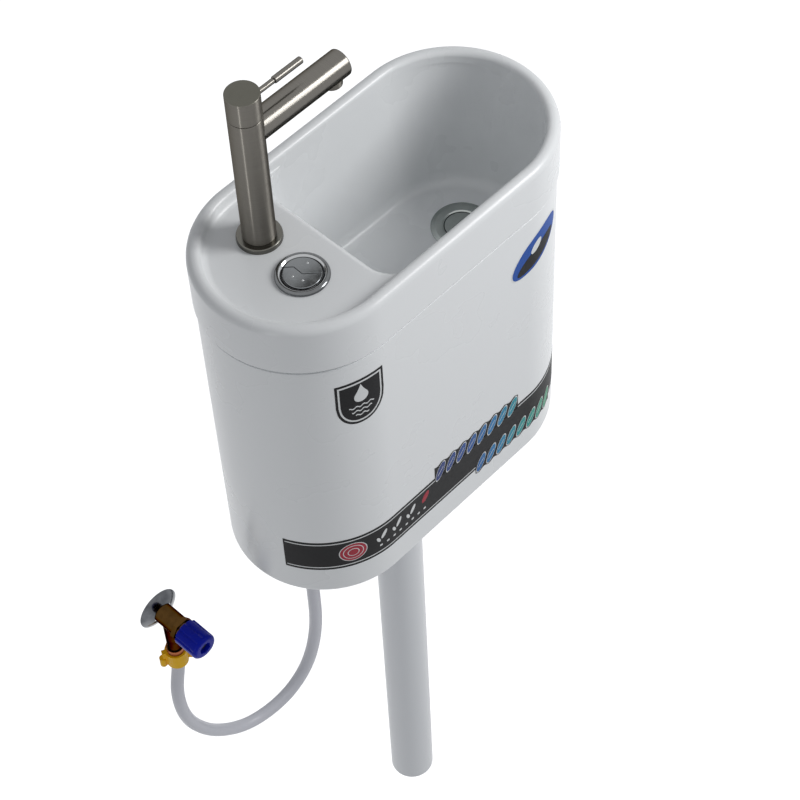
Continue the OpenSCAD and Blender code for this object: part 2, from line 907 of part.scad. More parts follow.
module button_far_half(shift) {
    r = button_d / 2;
    difference() {
        circle(r);
        polygon([[-2 * r, -2 * r], [2 * r, -2 * r], [2 * r, split_low * r + shift],
            [split_dip * r, split_low * r + shift], [0, split_low * r + shift],
            [-split_high * r, split_high * r + shift], [-2 * r, split_high * r + shift]]);
    }
}

// One half of the button with the boss for its rod; side is -1 for the near half, 1 for the far
module button_half(side) {
    translate([button_x, button_y, 0])
        rotate([0, 0, button_turn])
            difference() {
                union() {
                    translate([0, 0, plate_z])
                        linear_extrude(button_t)
                            if (side < 0)
                                button_near_half(-split_gap / 2);
                            else
                                button_far_half(split_gap / 2);
                    translate([0, side * stem_off, plate_z - boss_h])
                        cylinder(r = boss_r, h = boss_h + eps);
                }
                translate([0, side * stem_off, plate_z - boss_h - eps])
                    cylinder(r = rod_r + pin_fit, h = boss_h + eps);
            }
}

module full_flush_button() {
    color("silver")
        button_half(-1);
}

module half_flush_button() {
    color("silver")
        button_half(1);
}

// Push rod with a round tip, down to the rocker
module push_rod(x, y) {
    translate([x, y, pad_z + rod_r])
        cylinder(r = rod_r, h = plate_z - pad_z - rod_r);
    translate([x, y, pad_z + rod_r])
        sphere(rod_r);
}

module full_flush_rod() {
    color("gainsboro")
        push_rod(full_x, full_y);
}

module half_flush_rod() {
    color("gainsboro")
        push_rod(half_x, half_y);
}

// Unbroken coil of wire between z and z + h
module coil(z, h) {
    wire = spring_wire / 2;
    steps = spring_turns * 10;
    sides = 6;
    rise = h - spring_wire;
    slope = atan(rise / (spring_turns * 2 * PI * spring_r));
    points = [for (i = [0 : steps], j = [0 : sides - 1])
        let (a = i * 360 * spring_turns / steps, b = j * 360 / sides,
            out = spring_r + wire * cos(b), up = wire * sin(b))
        [out * cos(a) + up * sin(slope) * sin(a), out * sin(a) - up * sin(slope) * cos(a),
            z + wire + rise * i / steps + up * cos(slope)]];
    tube_hull(points, steps, sides);
}

// Closed skin over rings of points, as triangles
module tube_hull(points, steps, sides) {
    skin = [for (i = [0 : steps - 1], j = [0 : sides - 1])
        let (a = i * sides + j, b = i * sides + (j + 1) % sides)
        each [[a, a + sides, b], [b, a + sides, b + sides]]];
    first = [for (j = [1 : sides - 2]) [0, j, j + 1]];
    last = [for (j = [1 : sides - 2]) [steps * sides, steps * sides + j + 1, steps * sides + j]];
    polyhedron(points = points, faces = concat(skin, first, last), convexity = 10);
}

// Spring round a push rod, between the housing's floor and the button
module button_spring(x, y) {
    low_z = housing_z + housing_floor + spring_play;
    translate([x, y, 0])
        coil(low_z, plate_z - spring_play - low_z);
}

module full_flush_spring() {
    color("dimgray")
        button_spring(full_x, full_y);
}

module half_flush_spring() {
    color("dimgray")
        button_spring(half_x, half_y);
}

module flush_valve_body() {
    color("ghostwhite")
        translate([0, valve_y, 0])
            difference() {
                union() {
                    translate([0, 0, flange_z])
                        cylinder(r = flange_r, h = flange_h);
                    translate([0, 0, tail_z])
                        cylinder(d = tail_d, h = flange_z - tail_z + eps);
                    translate([0, 0, flange_z])
                        cylinder(r = seat_d / 2 + 4, h = seat_z - flange_z);
                }
                translate([0, 0, tail_z - eps])
                    cylinder(d = seat_d, h = seat_z - tail_z + 2 * eps);
            }
}

// Cage that stands on the valve's flange round the seat, with four windows for the water
module valve_cage() {
    window_w = 38;
    foot_z = flange_z + flange_h;
    color("ghostwhite")
        translate([0, valve_y, 0])
            difference() {
                tube(cage_d / 2, cage_in_r, foot_z, cage_z - foot_z);
                for (a = [45, 135])
                    rotate([0, 0, a])
                        translate([-cage_d, -window_w / 2, seat_z - 4])
                            cube([2 * cage_d, window_w, cage_z - seat_z - 8]);
            }
}

module flush_gasket() {
    color("dimgray")
        translate([0, valve_y, 0])
            tube(flange_r - 1, tail_d / 2 + pin_fit, floor_z, gasket_h);
}

module flush_nut() {
    color("white")
        translate([0, valve_y, 0])
            hex_nut(flush_nut_w, tail_d / 2 + pin_fit, tank_z - flush_nut_h, flush_nut_h);
}

// Cap of the cage, with the arm that holds the rockers' pin and the ear that guides the half float
module valve_bridge() {
    color("lightsteelblue")
        difference() {
            union() {
                translate([0, valve_y, cage_z])
                    cylinder(d = cage_d, h = bridge_h);
                translate([0, web_y + web_t / 2, 0])
                    rotate([90, 0, 0])
                        linear_extrude(web_t) {
                            polygon([[-4, cage_z], [-20, cage_z], [pivot_x, pivot_z - 7],
                                [pivot_x, pivot_z + 5], [-12, cage_z + bridge_h], [-4, cage_z + bridge_h]]);
                            translate([pivot_x, pivot_z])
                                circle(7);
                        }
                translate([hook_x, hook_y, cage_z])
                    cylinder(r = half_stem_r + 4, h = bridge_h);
                translate([hook_x, hook_y - half_stem_r - 2, cage_z])
                    cube([-hook_x - cage_in_r + 10, 2 * half_stem_r + 4, bridge_h]);
            }
            translate([0, valve_y, cage_z - eps])
                cylinder(r = overflow_r + slide_gap, h = bridge_h + 2 * eps);
            translate([hook_x, hook_y, cage_z - eps])
                cylinder(r = half_stem_r + slide_gap, h = bridge_h + 2 * eps);
            translate([pivot_x, web_y + web_t, pivot_z])
                rotate([90, 0, 0])
                    cylinder(r = pivot_d / 2, h = 2 * web_t);
        }
}

module rocker_pin() {
    head = 1.2;
    pin_r = pivot_d / 2;
    head_out = pin_r + 1.5;
    start = -half_y - rocker_t / 2 - slide_gap;
    end = rocker_t / 2 + slide_gap - full_y;
    color("silver")
        translate([pivot_x, 0, pivot_z])
            rotate([90, 0, 0])
                rotate_extrude()
                    polygon([[0, start - head], [head_out, start - head], [head_out, start],
                        [pin_r, start], [pin_r, end], [head_out, end], [head_out, end + head],
                        [0, end + head]]);
}

// Flat lever in the plane of X and Z, from the rod's pad to its lifting end
module rocker(left_x, right_x, y) {
    translate([0, y + rocker_t / 2, pivot_z])
        rotate([90, 0, 0])
            linear_extrude(rocker_t)
                difference() {
                    union() {
                        translate([left_x - 4, -rocker_r])
                            square([right_x - left_x + 4, rocker_h]);
                        translate([right_x, 0])
                            circle(rocker_r);
                        translate([pivot_x, 0])
                            circle(rocker_r + 2);
                    }
                    translate([pivot_x, 0])
                        circle(pivot_d / 2 + pin_fit);
                    translate([pivot_x + 14, -2])
                        square([right_x - pivot_x - 26, 4]);
                }
}

module full_rocker() {
    color("orange") {
        rocker(full_x, 0, full_y);
        translate([0, full_y, pivot_z])
            rotate([-90, 0, 0])
                cylinder(r = cross_r, h = valve_y - overflow_r - 2 - full_y);
    }
}

module half_rocker() {
    color("orange")
        rocker(half_x, hook_x, half_y);
}

module overflow_tube() {
    bore = overflow_r - overflow_wall;
    holder_z = seat_z + seal_h;
    holder_r = seal_d / 2 - 2;
    color("ghostwhite")
        translate([0, valve_y, 0])
            rotate_extrude()
                polygon([[bore, seat_z], [overflow_r, seat_z], [overflow_r, holder_z],
                    [holder_r, holder_z], [holder_r, holder_z + holder_h],
                    [overflow_r, holder_z + holder_h], [overflow_r, collar_z],
                    [collar_r, collar_z], [collar_r, collar_z + collar_h],
                    [overflow_r, collar_z + collar_h], [overflow_r, overflow_z],
                    [bore, overflow_z]]);
}

module flush_seal() {
    color("firebrick")
        translate([0, valve_y, 0])
            tube(seal_d / 2, overflow_r + pin_fit, seat_z, seal_h);
}

module half_flush_float() {
    top_z = cage_z - 16;
    color("lightsteelblue")
        translate([hook_x, hook_y, 0]) {
            translate([0, 0, top_z - half_float_h])
                cylinder(r = half_float_r, h = half_float_h);
            translate([0, 0, top_z - eps])
                cylinder(r = half_stem_r, h = pad_z - top_z + 2 * eps);
            translate([0, 0, cage_z + bridge_h])
                cylinder(r = half_stem_r + 2, h = 2);
            translate([0, 0, pad_z])
                cylinder(r = half_head_r, h = 3);
        }
}

// Tee under the fill valve, with the threaded inlet through the floor and the riser's socket
module inlet_manifold() {
    foot_z = floor_z + gasket_h;
    foot_r = 17;
    color("ghostwhite")
        difference() {
            union() {
                translate([inlet_x, tap_y, inlet_tail_z])
                    cylinder(d = inlet_d, h = manifold_z + manifold_r - inlet_tail_z);
                translate([inlet_x, tap_y, foot_z])
                    cylinder(r = foot_r, h = 3);
                translate([tap_x, tap_y, manifold_z])
                    rotate([0, 90, 0])
                        cylinder(r = manifold_r - 1.5, h = fill_x - tap_x);
                translate([tap_x, tap_y, manifold_z - manifold_r])
                    cylinder(r = manifold_r, h = socket_z - manifold_z + manifold_r);
                translate([fill_x, tap_y, manifold_z - manifold_r])
                    cylinder(r = fill_column_d / 2 + 2, h = socket_z - manifold_z + manifold_r);
            }
            translate([inlet_x, tap_y, inlet_tail_z - eps])
                cylinder(r = inlet_bore_r, h = manifold_z - inlet_tail_z - 1);
            translate([tap_x - 1, tap_y, manifold_z])
                rotate([0, 90, 0])
                    cylinder(r = riser_bore_r + 0.5, h = fill_x - tap_x + 2);
            for (x = [tap_x, fill_x])
                translate([x, tap_y, manifold_z - 6])
                    cylinder(r = riser_bore_r, h = socket_z - manifold_z + 6 + eps);
        }
}

module inlet_washer() {
    color("dimgray")
        translate([inlet_x, tap_y, 0])
            tube(inlet_washer_r, inlet_d / 2 + pin_fit, floor_z, gasket_h);
}

module inlet_nut() {
    color("white")
        translate([inlet_x, tap_y, 0])
            hex_nut(inlet_nut_w, inlet_d / 2 + pin_fit, tank_z - inlet_nut_h, inlet_nut_h);
}

module fill_column() {
    color("ghostwhite")
        translate([fill_x, tap_y, 0])
            tube(fill_column_d / 2, fill_column_d / 2 - fill_wall, socket_z, head_z - socket_z);
}

module fill_head() {
    ear_x = arm_t / 2 + arm_gap;
    color("lightsteelblue")
        translate([fill_x, 0, 0])
            difference() {
                union() {
                    translate([0, tap_y, head_z])
                        cylinder(r = head_r, h = head_h);
                    for (s = [-1, 1])
                        translate([s * (ear_x + arm_ear / 2) - arm_ear / 2, arm_y - 5, head_z])
                            cube([arm_ear, 10, arm_z + 4 - head_z]);
                    translate([-ear_x - arm_ear, tap_y, head_z])
                        cube([2 * (ear_x + arm_ear), arm_y + 5 - tap_y, head_h]);
                }
                translate([-head_r, arm_y, arm_z])
                    rotate([0, 90, 0])
                        cylinder(r = arm_pin_r, h = 2 * head_r);
            }
}

module float_cup() {
    inner = fill_column_d / 2 + slide_gap;
    outer = float_d / 2;
    wall = 1.8;
    top = float_z + float_h;
    color("royalblue") {
        translate([fill_x, tap_y, 0])
            rotate_extrude()
                polygon([[inner, float_z], [inner + wall, float_z], [inner + wall, top - wall],
                    [outer - wall, top - wall], [outer - wall, float_z], [outer, float_z],
                    [outer, top], [inner, top]]);
        translate([fill_x, link_y, top - wall / 2]) {
            cylinder(r = link_r, h = arm_z - arm_t / 2 - touch - link_r - top + wall / 2);
            translate([0, 0, arm_z - arm_t / 2 - touch - link_r - top + wall / 2])
                sphere(link_r);
        }
    }
}

module float_arm() {
    color("orange")
        translate([fill_x - arm_t / 2, 0, arm_z])
            difference() {
                translate([0, link_y - 4, -arm_t / 2])
                    cube([arm_t, arm_y + 4 - link_y + 4, arm_t]);
                translate([-eps, arm_y, 0])
                    rotate([0, 90, 0])
                        cylinder(r = arm_pin_r + pin_fit, h = arm_t + 2 * eps);
            }
}

module float_arm_pin() {
    half = arm_t / 2 + arm_gap + arm_ear;
    color("silver")
        translate([fill_x - half, arm_y, arm_z])
            rotate([0, 90, 0])
                cylinder(r = arm_pin_r, h = 2 * half);
}

// Rubber sleeve that holds the flush pipe on the valve's tail
module pipe_sleeve() {
    pipe_top = tank_z - flush_nut_h - 2;
    color("dimgray")
        translate([0, valve_y, 0]) {
            tube(pipe_d / 2 - pipe_wall - pin_fit, tail_d / 2 + pin_fit, tail_z + 2, pipe_top - tail_z - 2 + eps);
            tube(pipe_d / 2 - 1, tail_d / 2 + pin_fit, pipe_top, 2);
        }
}

module flush_pipe() {
    pipe_top = tank_z - flush_nut_h - 2;
    low_z = tank_z - pipe_len;
    color("white")
        translate([0, valve_y, 0])
            tube(pipe_d / 2, pipe_d / 2 - pipe_wall, low_z, pipe_top - low_z);
}

function unit(v) = v / norm(v);

// Direction of the route at point i
function heading(i) = unit(HOSE[min(i + 1, len(HOSE) - 1)] - HOSE[max(i - 1, 0)]);

// Ring of points square to the route at point i; the route never runs along Y
function hose_ring(i) =
    let (t = heading(i), side = unit(cross([0, 1, 0], t)), up = cross(t, side))
    [for (j = [0 : hose_sides - 1])
        let (a = j * 360 / hose_sides)
        HOSE[i] + hose_d / 2 * (cos(a) * side + sin(a) * up)];

module supply_hose() {
    points = [for (i = [0 : len(HOSE) - 1]) each hose_ring(i)];
    color("white")
        tube_hull(points, len(HOSE) - 1, hose_sides);
}

// Nut at the top of the hose
module hose_nut() {
    color("silver")
        translate([inlet_x, tap_y, hose_nut_z])
            difference() {
                cylinder(d = 27 / cos(30), h = hose_nut_h, $fn = 6);
                translate([0, 0, inlet_tail_z - hose_nut_z])
                    cylinder(r = inlet_d / 2 + pin_fit, h = hose_nut_h);
                translate([0, 0, -eps])
                    cylinder(r = 5, h = hose_nut_h);
            }
}

// Moves to the stop valve, with +Z turned into the room
module at_stop() {
    translate([-stop_x, 0, stop_z])
        rotate([90, 0, 0])
            children();
}

module wing_nut() {
    color("gold")
        translate([-stop_x, -outlet_y, wing_z])
            difference() {
                union() {
                    cylinder(r = wing_r, h = wing_h);
                    rotate([0, 0, wing_turn]) {
                        for (s = [-1, 1])
                            translate([s * wing_reach, 0, 0])
                                cylinder(r = wing_ear_r, h = wing_h * 0.6);
                        translate([-wing_reach, -wing_ear_r * 0.7, 0])
                            cube([2 * wing_reach, wing_ear_r * 1.4, wing_h * 0.6]);
                        translate([-wing_reach, -wing_ear_r * 0.7, 0])
                            cube([2 * wing_reach, wing_ear_r * 1.4, wing_h + 2]);
                    }
                }
                translate([0, 0, outlet_z - wing_z])
                    cylinder(r = outlet_r + pin_fit, h = wing_h);
                translate([0, 0, -eps])
                    cylinder(r = 5, h = wing_h);
            }
}

module stop_valve_body() {
    color("darkgoldenrod")
        difference() {
            union() {
                at_stop() {
                    translate([0, 0, -stop_tail])
                        cylinder(d = inlet_d, h = stop_tail + eps);
                    cylinder(d = stop_d, h = barrel_end);
                    translate([0, 0, barrel_end - 8])
                        cylinder(d = (stop_d + 2) / cos(30), h = 6, $fn = 6);
                }
                translate([-stop_x, -outlet_y, outlet_z])
                    cylinder(r = outlet_r, h = stop_z - outlet_z);
                translate([-stop_x, -outlet_y, wing_z + wing_h + 2.4])
                    cylinder(r = outlet_r + 1.5, h = collar_top - 2.4);
            }
            at_stop() {
                translate([0, 0, -stop_tail - eps])
                    cylinder(r = outlet_bore_r + 1, h = stop_tail + outlet_y - 4);
                translate([0, 0, outlet_y + outlet_r])
                    cylinder(r = stem_r + pin_fit, h = barrel_end);
            }
            translate([-stop_x, -outlet_y, outlet_z - eps])
                cylinder(r = outlet_bore_r, h = stop_z - outlet_z);
        }
}

module stop_stem() {
    start = outlet_y + outlet_r + slide_gap;
    color("silver")
        at_stop()
            translate([0, 0, start])
                cylinder(r = stem_r, h = knob_start + knob_h - 12 - start);
}

module stop_knob() {
    r = knob_d / 2;
    color("mediumblue")
        at_stop()
            translate([0, 0, knob_start])
                difference() {
                    linear_extrude(knob_h)
                        difference() {
                            circle(r);
                            for (a = [0 : 360 / flutes : 359])
                                rotate(a)
                                    translate([r + flute_r * 0.6, 0])
                                        circle(flute_r);
                        }
                    translate([0, 0, -eps])
                        cylinder(r = r - 4, h = knob_skirt + eps);
                    cylinder(r = stem_r + pin_fit, h = knob_h - 12);
                    translate([0, 0, knob_h - 7])
                        cylinder(r = 8.5, h = 8, $fn = 6);
                    translate([0, 0, knob_h - 13])
                        cylinder(r = 2, h = 8);
                }
}

module knob_screw() {
    color("silver")
        at_stop() {
            translate([0, 0, knob_start + knob_h - 7])
                cylinder(r = 4, h = 3);
            translate([0, 0, knob_start + knob_h - 12])
                cylinder(r = 1.9, h = 5.5);
        }
}

module wall_rosette() {
    bore = stop_d / 2 + slide_gap;
    r = rosette_d / 2;
    color("silver")
        at_stop()
            rotate_extrude()
                polygon([[bore, rosette_h - 1.2], [bore, rosette_h], [bore + 3, rosette_h - 0.2],
                    [r * 0.7, rosette_h * 0.72], [r * 0.9, rosette_h * 0.4], [r, 1], [r, 0],
                    [r - 1.2, 0], [r * 0.88, rosette_h * 0.3], [r * 0.68, rosette_h * 0.6]]);
}

cistern_tank();
wall_pads();
wall_bolts();
bolt_washers();
basin_top();
drain_flange();
drain_gasket();
drain_nut();
drain_flap();
drain_pin();
tap_ring();
tap_column();
tap_spout();
tap_aerator();
tap_cartridge();
tap_cap();
tap_lever();
tap_shank();
tap_washer();
tap_nut();
tap_riser();
riser_nuts();
button_housing();
button_nut();
full_flush_button();
half_flush_button();
full_flush_rod();
half_flush_rod();
full_flush_spring();
half_flush_spring();
flush_valve_body();
valve_cage();
flush_gasket();
flush_nut();
valve_bridge();
rocker_pin();
full_rocker();
half_rocker();
overflow_tube();
flush_seal();
half_flush_float();
inlet_manifold();
inlet_washer();
inlet_nut();
fill_column();
fill_head();
float_cup();
float_arm();
float_arm_pin();
pipe_sleeve();
flush_pipe();
supply_hose();
hose_nut();
wing_nut();
stop_valve_body();
stop_stem();
stop_knob();
knob_screw();
wall_rosette();
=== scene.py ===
"""A wall-hung flush cistern with a hand basin in its top, dressed for the render.

Metres, +Z up, +Y into the wall. The origin is midway between the two wall bolts, on the wall.
New pieces are grids of points worked out by a formula in millimetres, with their faces outward.
"""
import math

import bmesh
import bpy
import numpy as np
from mathutils import Matrix, Vector


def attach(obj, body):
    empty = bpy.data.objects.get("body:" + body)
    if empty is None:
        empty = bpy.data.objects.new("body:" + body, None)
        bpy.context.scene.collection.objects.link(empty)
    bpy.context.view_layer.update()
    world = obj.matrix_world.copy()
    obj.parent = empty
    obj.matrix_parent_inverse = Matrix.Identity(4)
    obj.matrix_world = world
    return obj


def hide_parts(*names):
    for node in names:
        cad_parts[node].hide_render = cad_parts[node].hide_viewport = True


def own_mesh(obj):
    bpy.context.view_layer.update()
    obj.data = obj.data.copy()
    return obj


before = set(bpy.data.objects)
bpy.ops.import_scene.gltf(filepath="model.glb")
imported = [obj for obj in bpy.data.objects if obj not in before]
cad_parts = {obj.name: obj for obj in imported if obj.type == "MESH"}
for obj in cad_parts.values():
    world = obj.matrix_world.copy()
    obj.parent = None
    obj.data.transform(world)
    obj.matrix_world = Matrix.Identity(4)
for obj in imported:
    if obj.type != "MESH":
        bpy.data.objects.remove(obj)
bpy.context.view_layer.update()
MM = 0.001

# Sizes in millimetres, as the solids have them
MID_Y, END_R, ARC_X = -116.0, 116.0, 114.0
PART_Z, RIM_Z, DECK_Z, BOWL_Z = 60.0, 126.5, 113.0, -54.0
TANK_Z, TANK_IN, TANK_WALL = -358.0, 2.4, 4.5
LEAN = math.radians(7)
BOWL_R, CORNER_R, RIDGE_X = 100.0, 36.0, -79.0
TAP_X, TAP_Y, TAP_TOP = -127.0, -71.0, 322.5
BUTTON = (-134.0, -140.0)
BUTTON_TURN = math.radians(-44)
DRAIN_X = 127.0
STOP_X, STOP_Z, OUTLET_Y = -299.0, -481.0, -20.0


# Camera: the photograph's view, in degrees, metres and pixels of its square picture
VIEW_AZIMUTH, VIEW_ELEVATION, VIEW_ROLL = -43.965, 53.2, -3.23
VIEW_EYE = (-1.1246, -1.2987, 1.9273)
VIEW_FOCAL_PX, VIEW_SIDE_PX = 2336.975, 800
SENSOR = 36


def place_camera():
    """Looks back along the direction of the azimuth and elevation, then rolls the picture's axes."""
    a, e, r = (math.radians(v) for v in (VIEW_AZIMUTH, VIEW_ELEVATION, VIEW_ROLL))
    back = np.array([math.sin(a) * math.cos(e), -math.cos(a) * math.cos(e), math.sin(e)])
    right = np.cross(-back, [0, 0, 1])
    right /= np.linalg.norm(right)
    up = np.cross(right, -back)
    x = math.cos(r) * right + math.sin(r) * up
    y = -math.sin(r) * right + math.cos(r) * up
    cam = bpy.data.cameras.new("camera")
    cam.sensor_width = SENSOR
    cam.lens = VIEW_FOCAL_PX / VIEW_SIDE_PX * SENSOR
    cam.clip_start, cam.clip_end = 0.1, 30
    ob = bpy.data.objects.new("camera", cam)
    bpy.context.collection.objects.link(ob)
    turn = Matrix([list(row) for row in np.column_stack([x, y, back])]).to_4x4()
    turn.translation = VIEW_EYE
    ob.matrix_world = turn
    bpy.context.scene.camera = ob


place_camera()


# Materials
def lin(hex_code):
    """sRGB hex colour to linear."""
    c = np.array([int(hex_code[i:i + 2], 16) for i in (0, 2, 4)]) / 255
    return (*np.where(c <= 0.04045, c / 12.92, ((c + 0.055) / 1.055) ** 2.4).tolist(), 1.0)


def add(tree, kind, inputs=None, **settings):
    """Adds a node, sets its properties, and fills or links its inputs."""
    node = tree.nodes.new(kind)
    for key, value in settings.items():
        setattr(node, key, value)
    for key, value in (inputs or {}).items():
        if isinstance(value, bpy.types.NodeSocket):
            tree.links.new(value, node.inputs[key])
        else:
            node.inputs[key].default_value = value
    return node


def new_material(name, **constants):
    """A material whose constant values sit on the shader's own sockets."""
    mat = bpy.data.materials.new(name)
    mat.use_nodes = True
    shader = mat.node_tree.nodes["Principled BSDF"]
    for key, value in constants.items():
        shader.inputs[key.replace("_", " ")].default_value = value
    return mat, mat.node_tree, shader


def place_mm(tree, scale=(1, 1, 1)):
    """The point's place on the object in millimetres, stretched by scale."""
    coord = add(tree, "ShaderNodeTexCoord")
    return add(tree, "ShaderNodeMapping", {"Vector": coord.outputs["Object"],
               "Scale": tuple(1000 * k for k in scale)}).outputs["Vector"]


def vary(tree, shader, pattern, colours, rough):
    """Lets a pattern lead the colour and the roughness from their first to their second value."""
    tint = add(tree, "ShaderNodeMix", {0: pattern, 6: lin(colours[0]), 7: lin(colours[1])}, data_type="RGBA")
    tree.links.new(tint.outputs[2], shader.inputs["Base Color"])
    gloss = add(tree, "ShaderNodeMapRange", {"Value": pattern, "From Min": 0.3, "From Max": 0.7,
                "To Min": rough[0], "To Max": rough[1]})
    tree.links.new(gloss.outputs["Result"], shader.inputs["Roughness"])


def cloudy(name, colours, size, rough, grain=(0.0, 1.0), vector_scale=(1, 1, 1), **constants):
    """Clouds between two colours and two roughnesses, size mm across, over a grain (depth, width) in mm."""
    mat, tree, shader = new_material(name, Base_Color=lin(colours[0]), Roughness=rough[0], **constants)
    vector = place_mm(tree, vector_scale)
    cloud = add(tree, "ShaderNodeTexNoise", {"Vector": vector, "Scale": 1 / size, "Detail": 3.0})
    vary(tree, shader, cloud.outputs["Fac"], colours, rough)
    if grain[0]:
        fine = add(tree, "ShaderNodeTexNoise", {"Vector": vector, "Scale": 1 / grain[1], "Detail": 4.0})
        relief = add(tree, "ShaderNodeBump", {"Height": fine.outputs["Fac"], "Strength": 1.0,
                     "Distance": grain[0] * MM})
        tree.links.new(relief.outputs["Normal"], shader.inputs["Normal"])
    return mat


def metal(name, colours, size, rough, grain, **constants):
    """Bare or plated metal in clouds."""
    return cloudy(name, colours, size, rough, grain, Metallic=1.0, **constants)


def ink(name, colours, shine):
    """Printed vinyl: flat ink under a thin satin film."""
    return cloudy(name, colours, 3, (0.42, 0.5), (0.004, 0.6), Specular_IOR_Level=shine)


SCRATCH_GAP, SCRATCH_LENGTH = 0.3, 60


def brushed(name, across, colours, rough, depth, stretch):
    """Brushed stainless steel: scratches 0.3 mm apart and some 60 mm long, square to the across axis.

    The scratches run round the bar, so light is drawn out into streaks along it: by stretch, the shine
    is longer along the across axis, a quarter turn from the tangent round the bar. The real scratches
    are finer than the render shows, so they are drawn as coarse as they need to be.
    """
    mat, tree, shader = new_material(name, Base_Color=lin(colours[0]), Roughness=rough[0], Metallic=1.0,
                                     Specular_Tint=lin("8C8A86"), Anisotropic=stretch,
                                     Anisotropic_Rotation=0.25)
    round_bar = add(tree, "ShaderNodeTangent", direction_type="RADIAL", axis="XYZ"[across])
    tree.links.new(round_bar.outputs["Tangent"], shader.inputs["Tangent"])
    scale = [1 / SCRATCH_LENGTH] * 3
    scale[across] = 1 / SCRATCH_GAP
    line = add(tree, "ShaderNodeTexNoise", {"Vector": place_mm(tree, scale), "Scale": 1.0, "Detail": 4.0})
    vary(tree, shader, line.outputs["Fac"], colours, rough)
    relief = add(tree, "ShaderNodeBump", {"Height": line.outputs["Fac"], "Strength": 1.0,
                 "Distance": depth * MM})
    tree.links.new(relief.outputs["Normal"], shader.inputs["Normal"])
    return mat


def printed_fade():
    """Printed vinyl whose ink fades along the tank from violet over blue and teal to green."""
    left, right = -0.047, 0.160
    stops = [(0.0, "2E2A66"), (0.28, "2B4C93"), (0.5, "2F7FB4"), (0.72, "2C9C96"), (1.0, "4FA36B")]
    mat, tree, shader = new_material("printed_fade_vinyl", Roughness=0.45, Specular_IOR_Level=0.1)
    coord = add(tree, "ShaderNodeTexCoord")
    parts = add(tree, "ShaderNodeSeparateXYZ", {"Vector": coord.outputs["Object"]})
    along = add(tree, "ShaderNodeMapRange", {"Value": parts.outputs["X"], "From Min": left,
                "From Max": right})
    ramp = add(tree, "ShaderNodeValToRGB", {"Fac": along.outputs["Result"]})
    while len(ramp.color_ramp.elements) < len(stops):
        ramp.color_ramp.elements.new(0.5)
    for element, (place, colour) in zip(ramp.color_ramp.elements, stops):
        element.position, element.color = place, lin(colour)
    speck = add(tree, "ShaderNodeTexNoise", {"Vector": place_mm(tree), "Scale": 1 / 0.8, "Detail": 2.0})
    soft = add(tree, "ShaderNodeMapRange", {"Value": speck.outputs["Fac"], "To Min": 0.0, "To Max": 0.25})
    shade = add(tree, "ShaderNodeMix", {0: soft.outputs["Result"], 6: ramp.outputs["Color"],
                7: lin("5A86B0")}, data_type="RGBA")
    tree.links.new(shade.outputs[2], shader.inputs["Base Color"])
    return mat


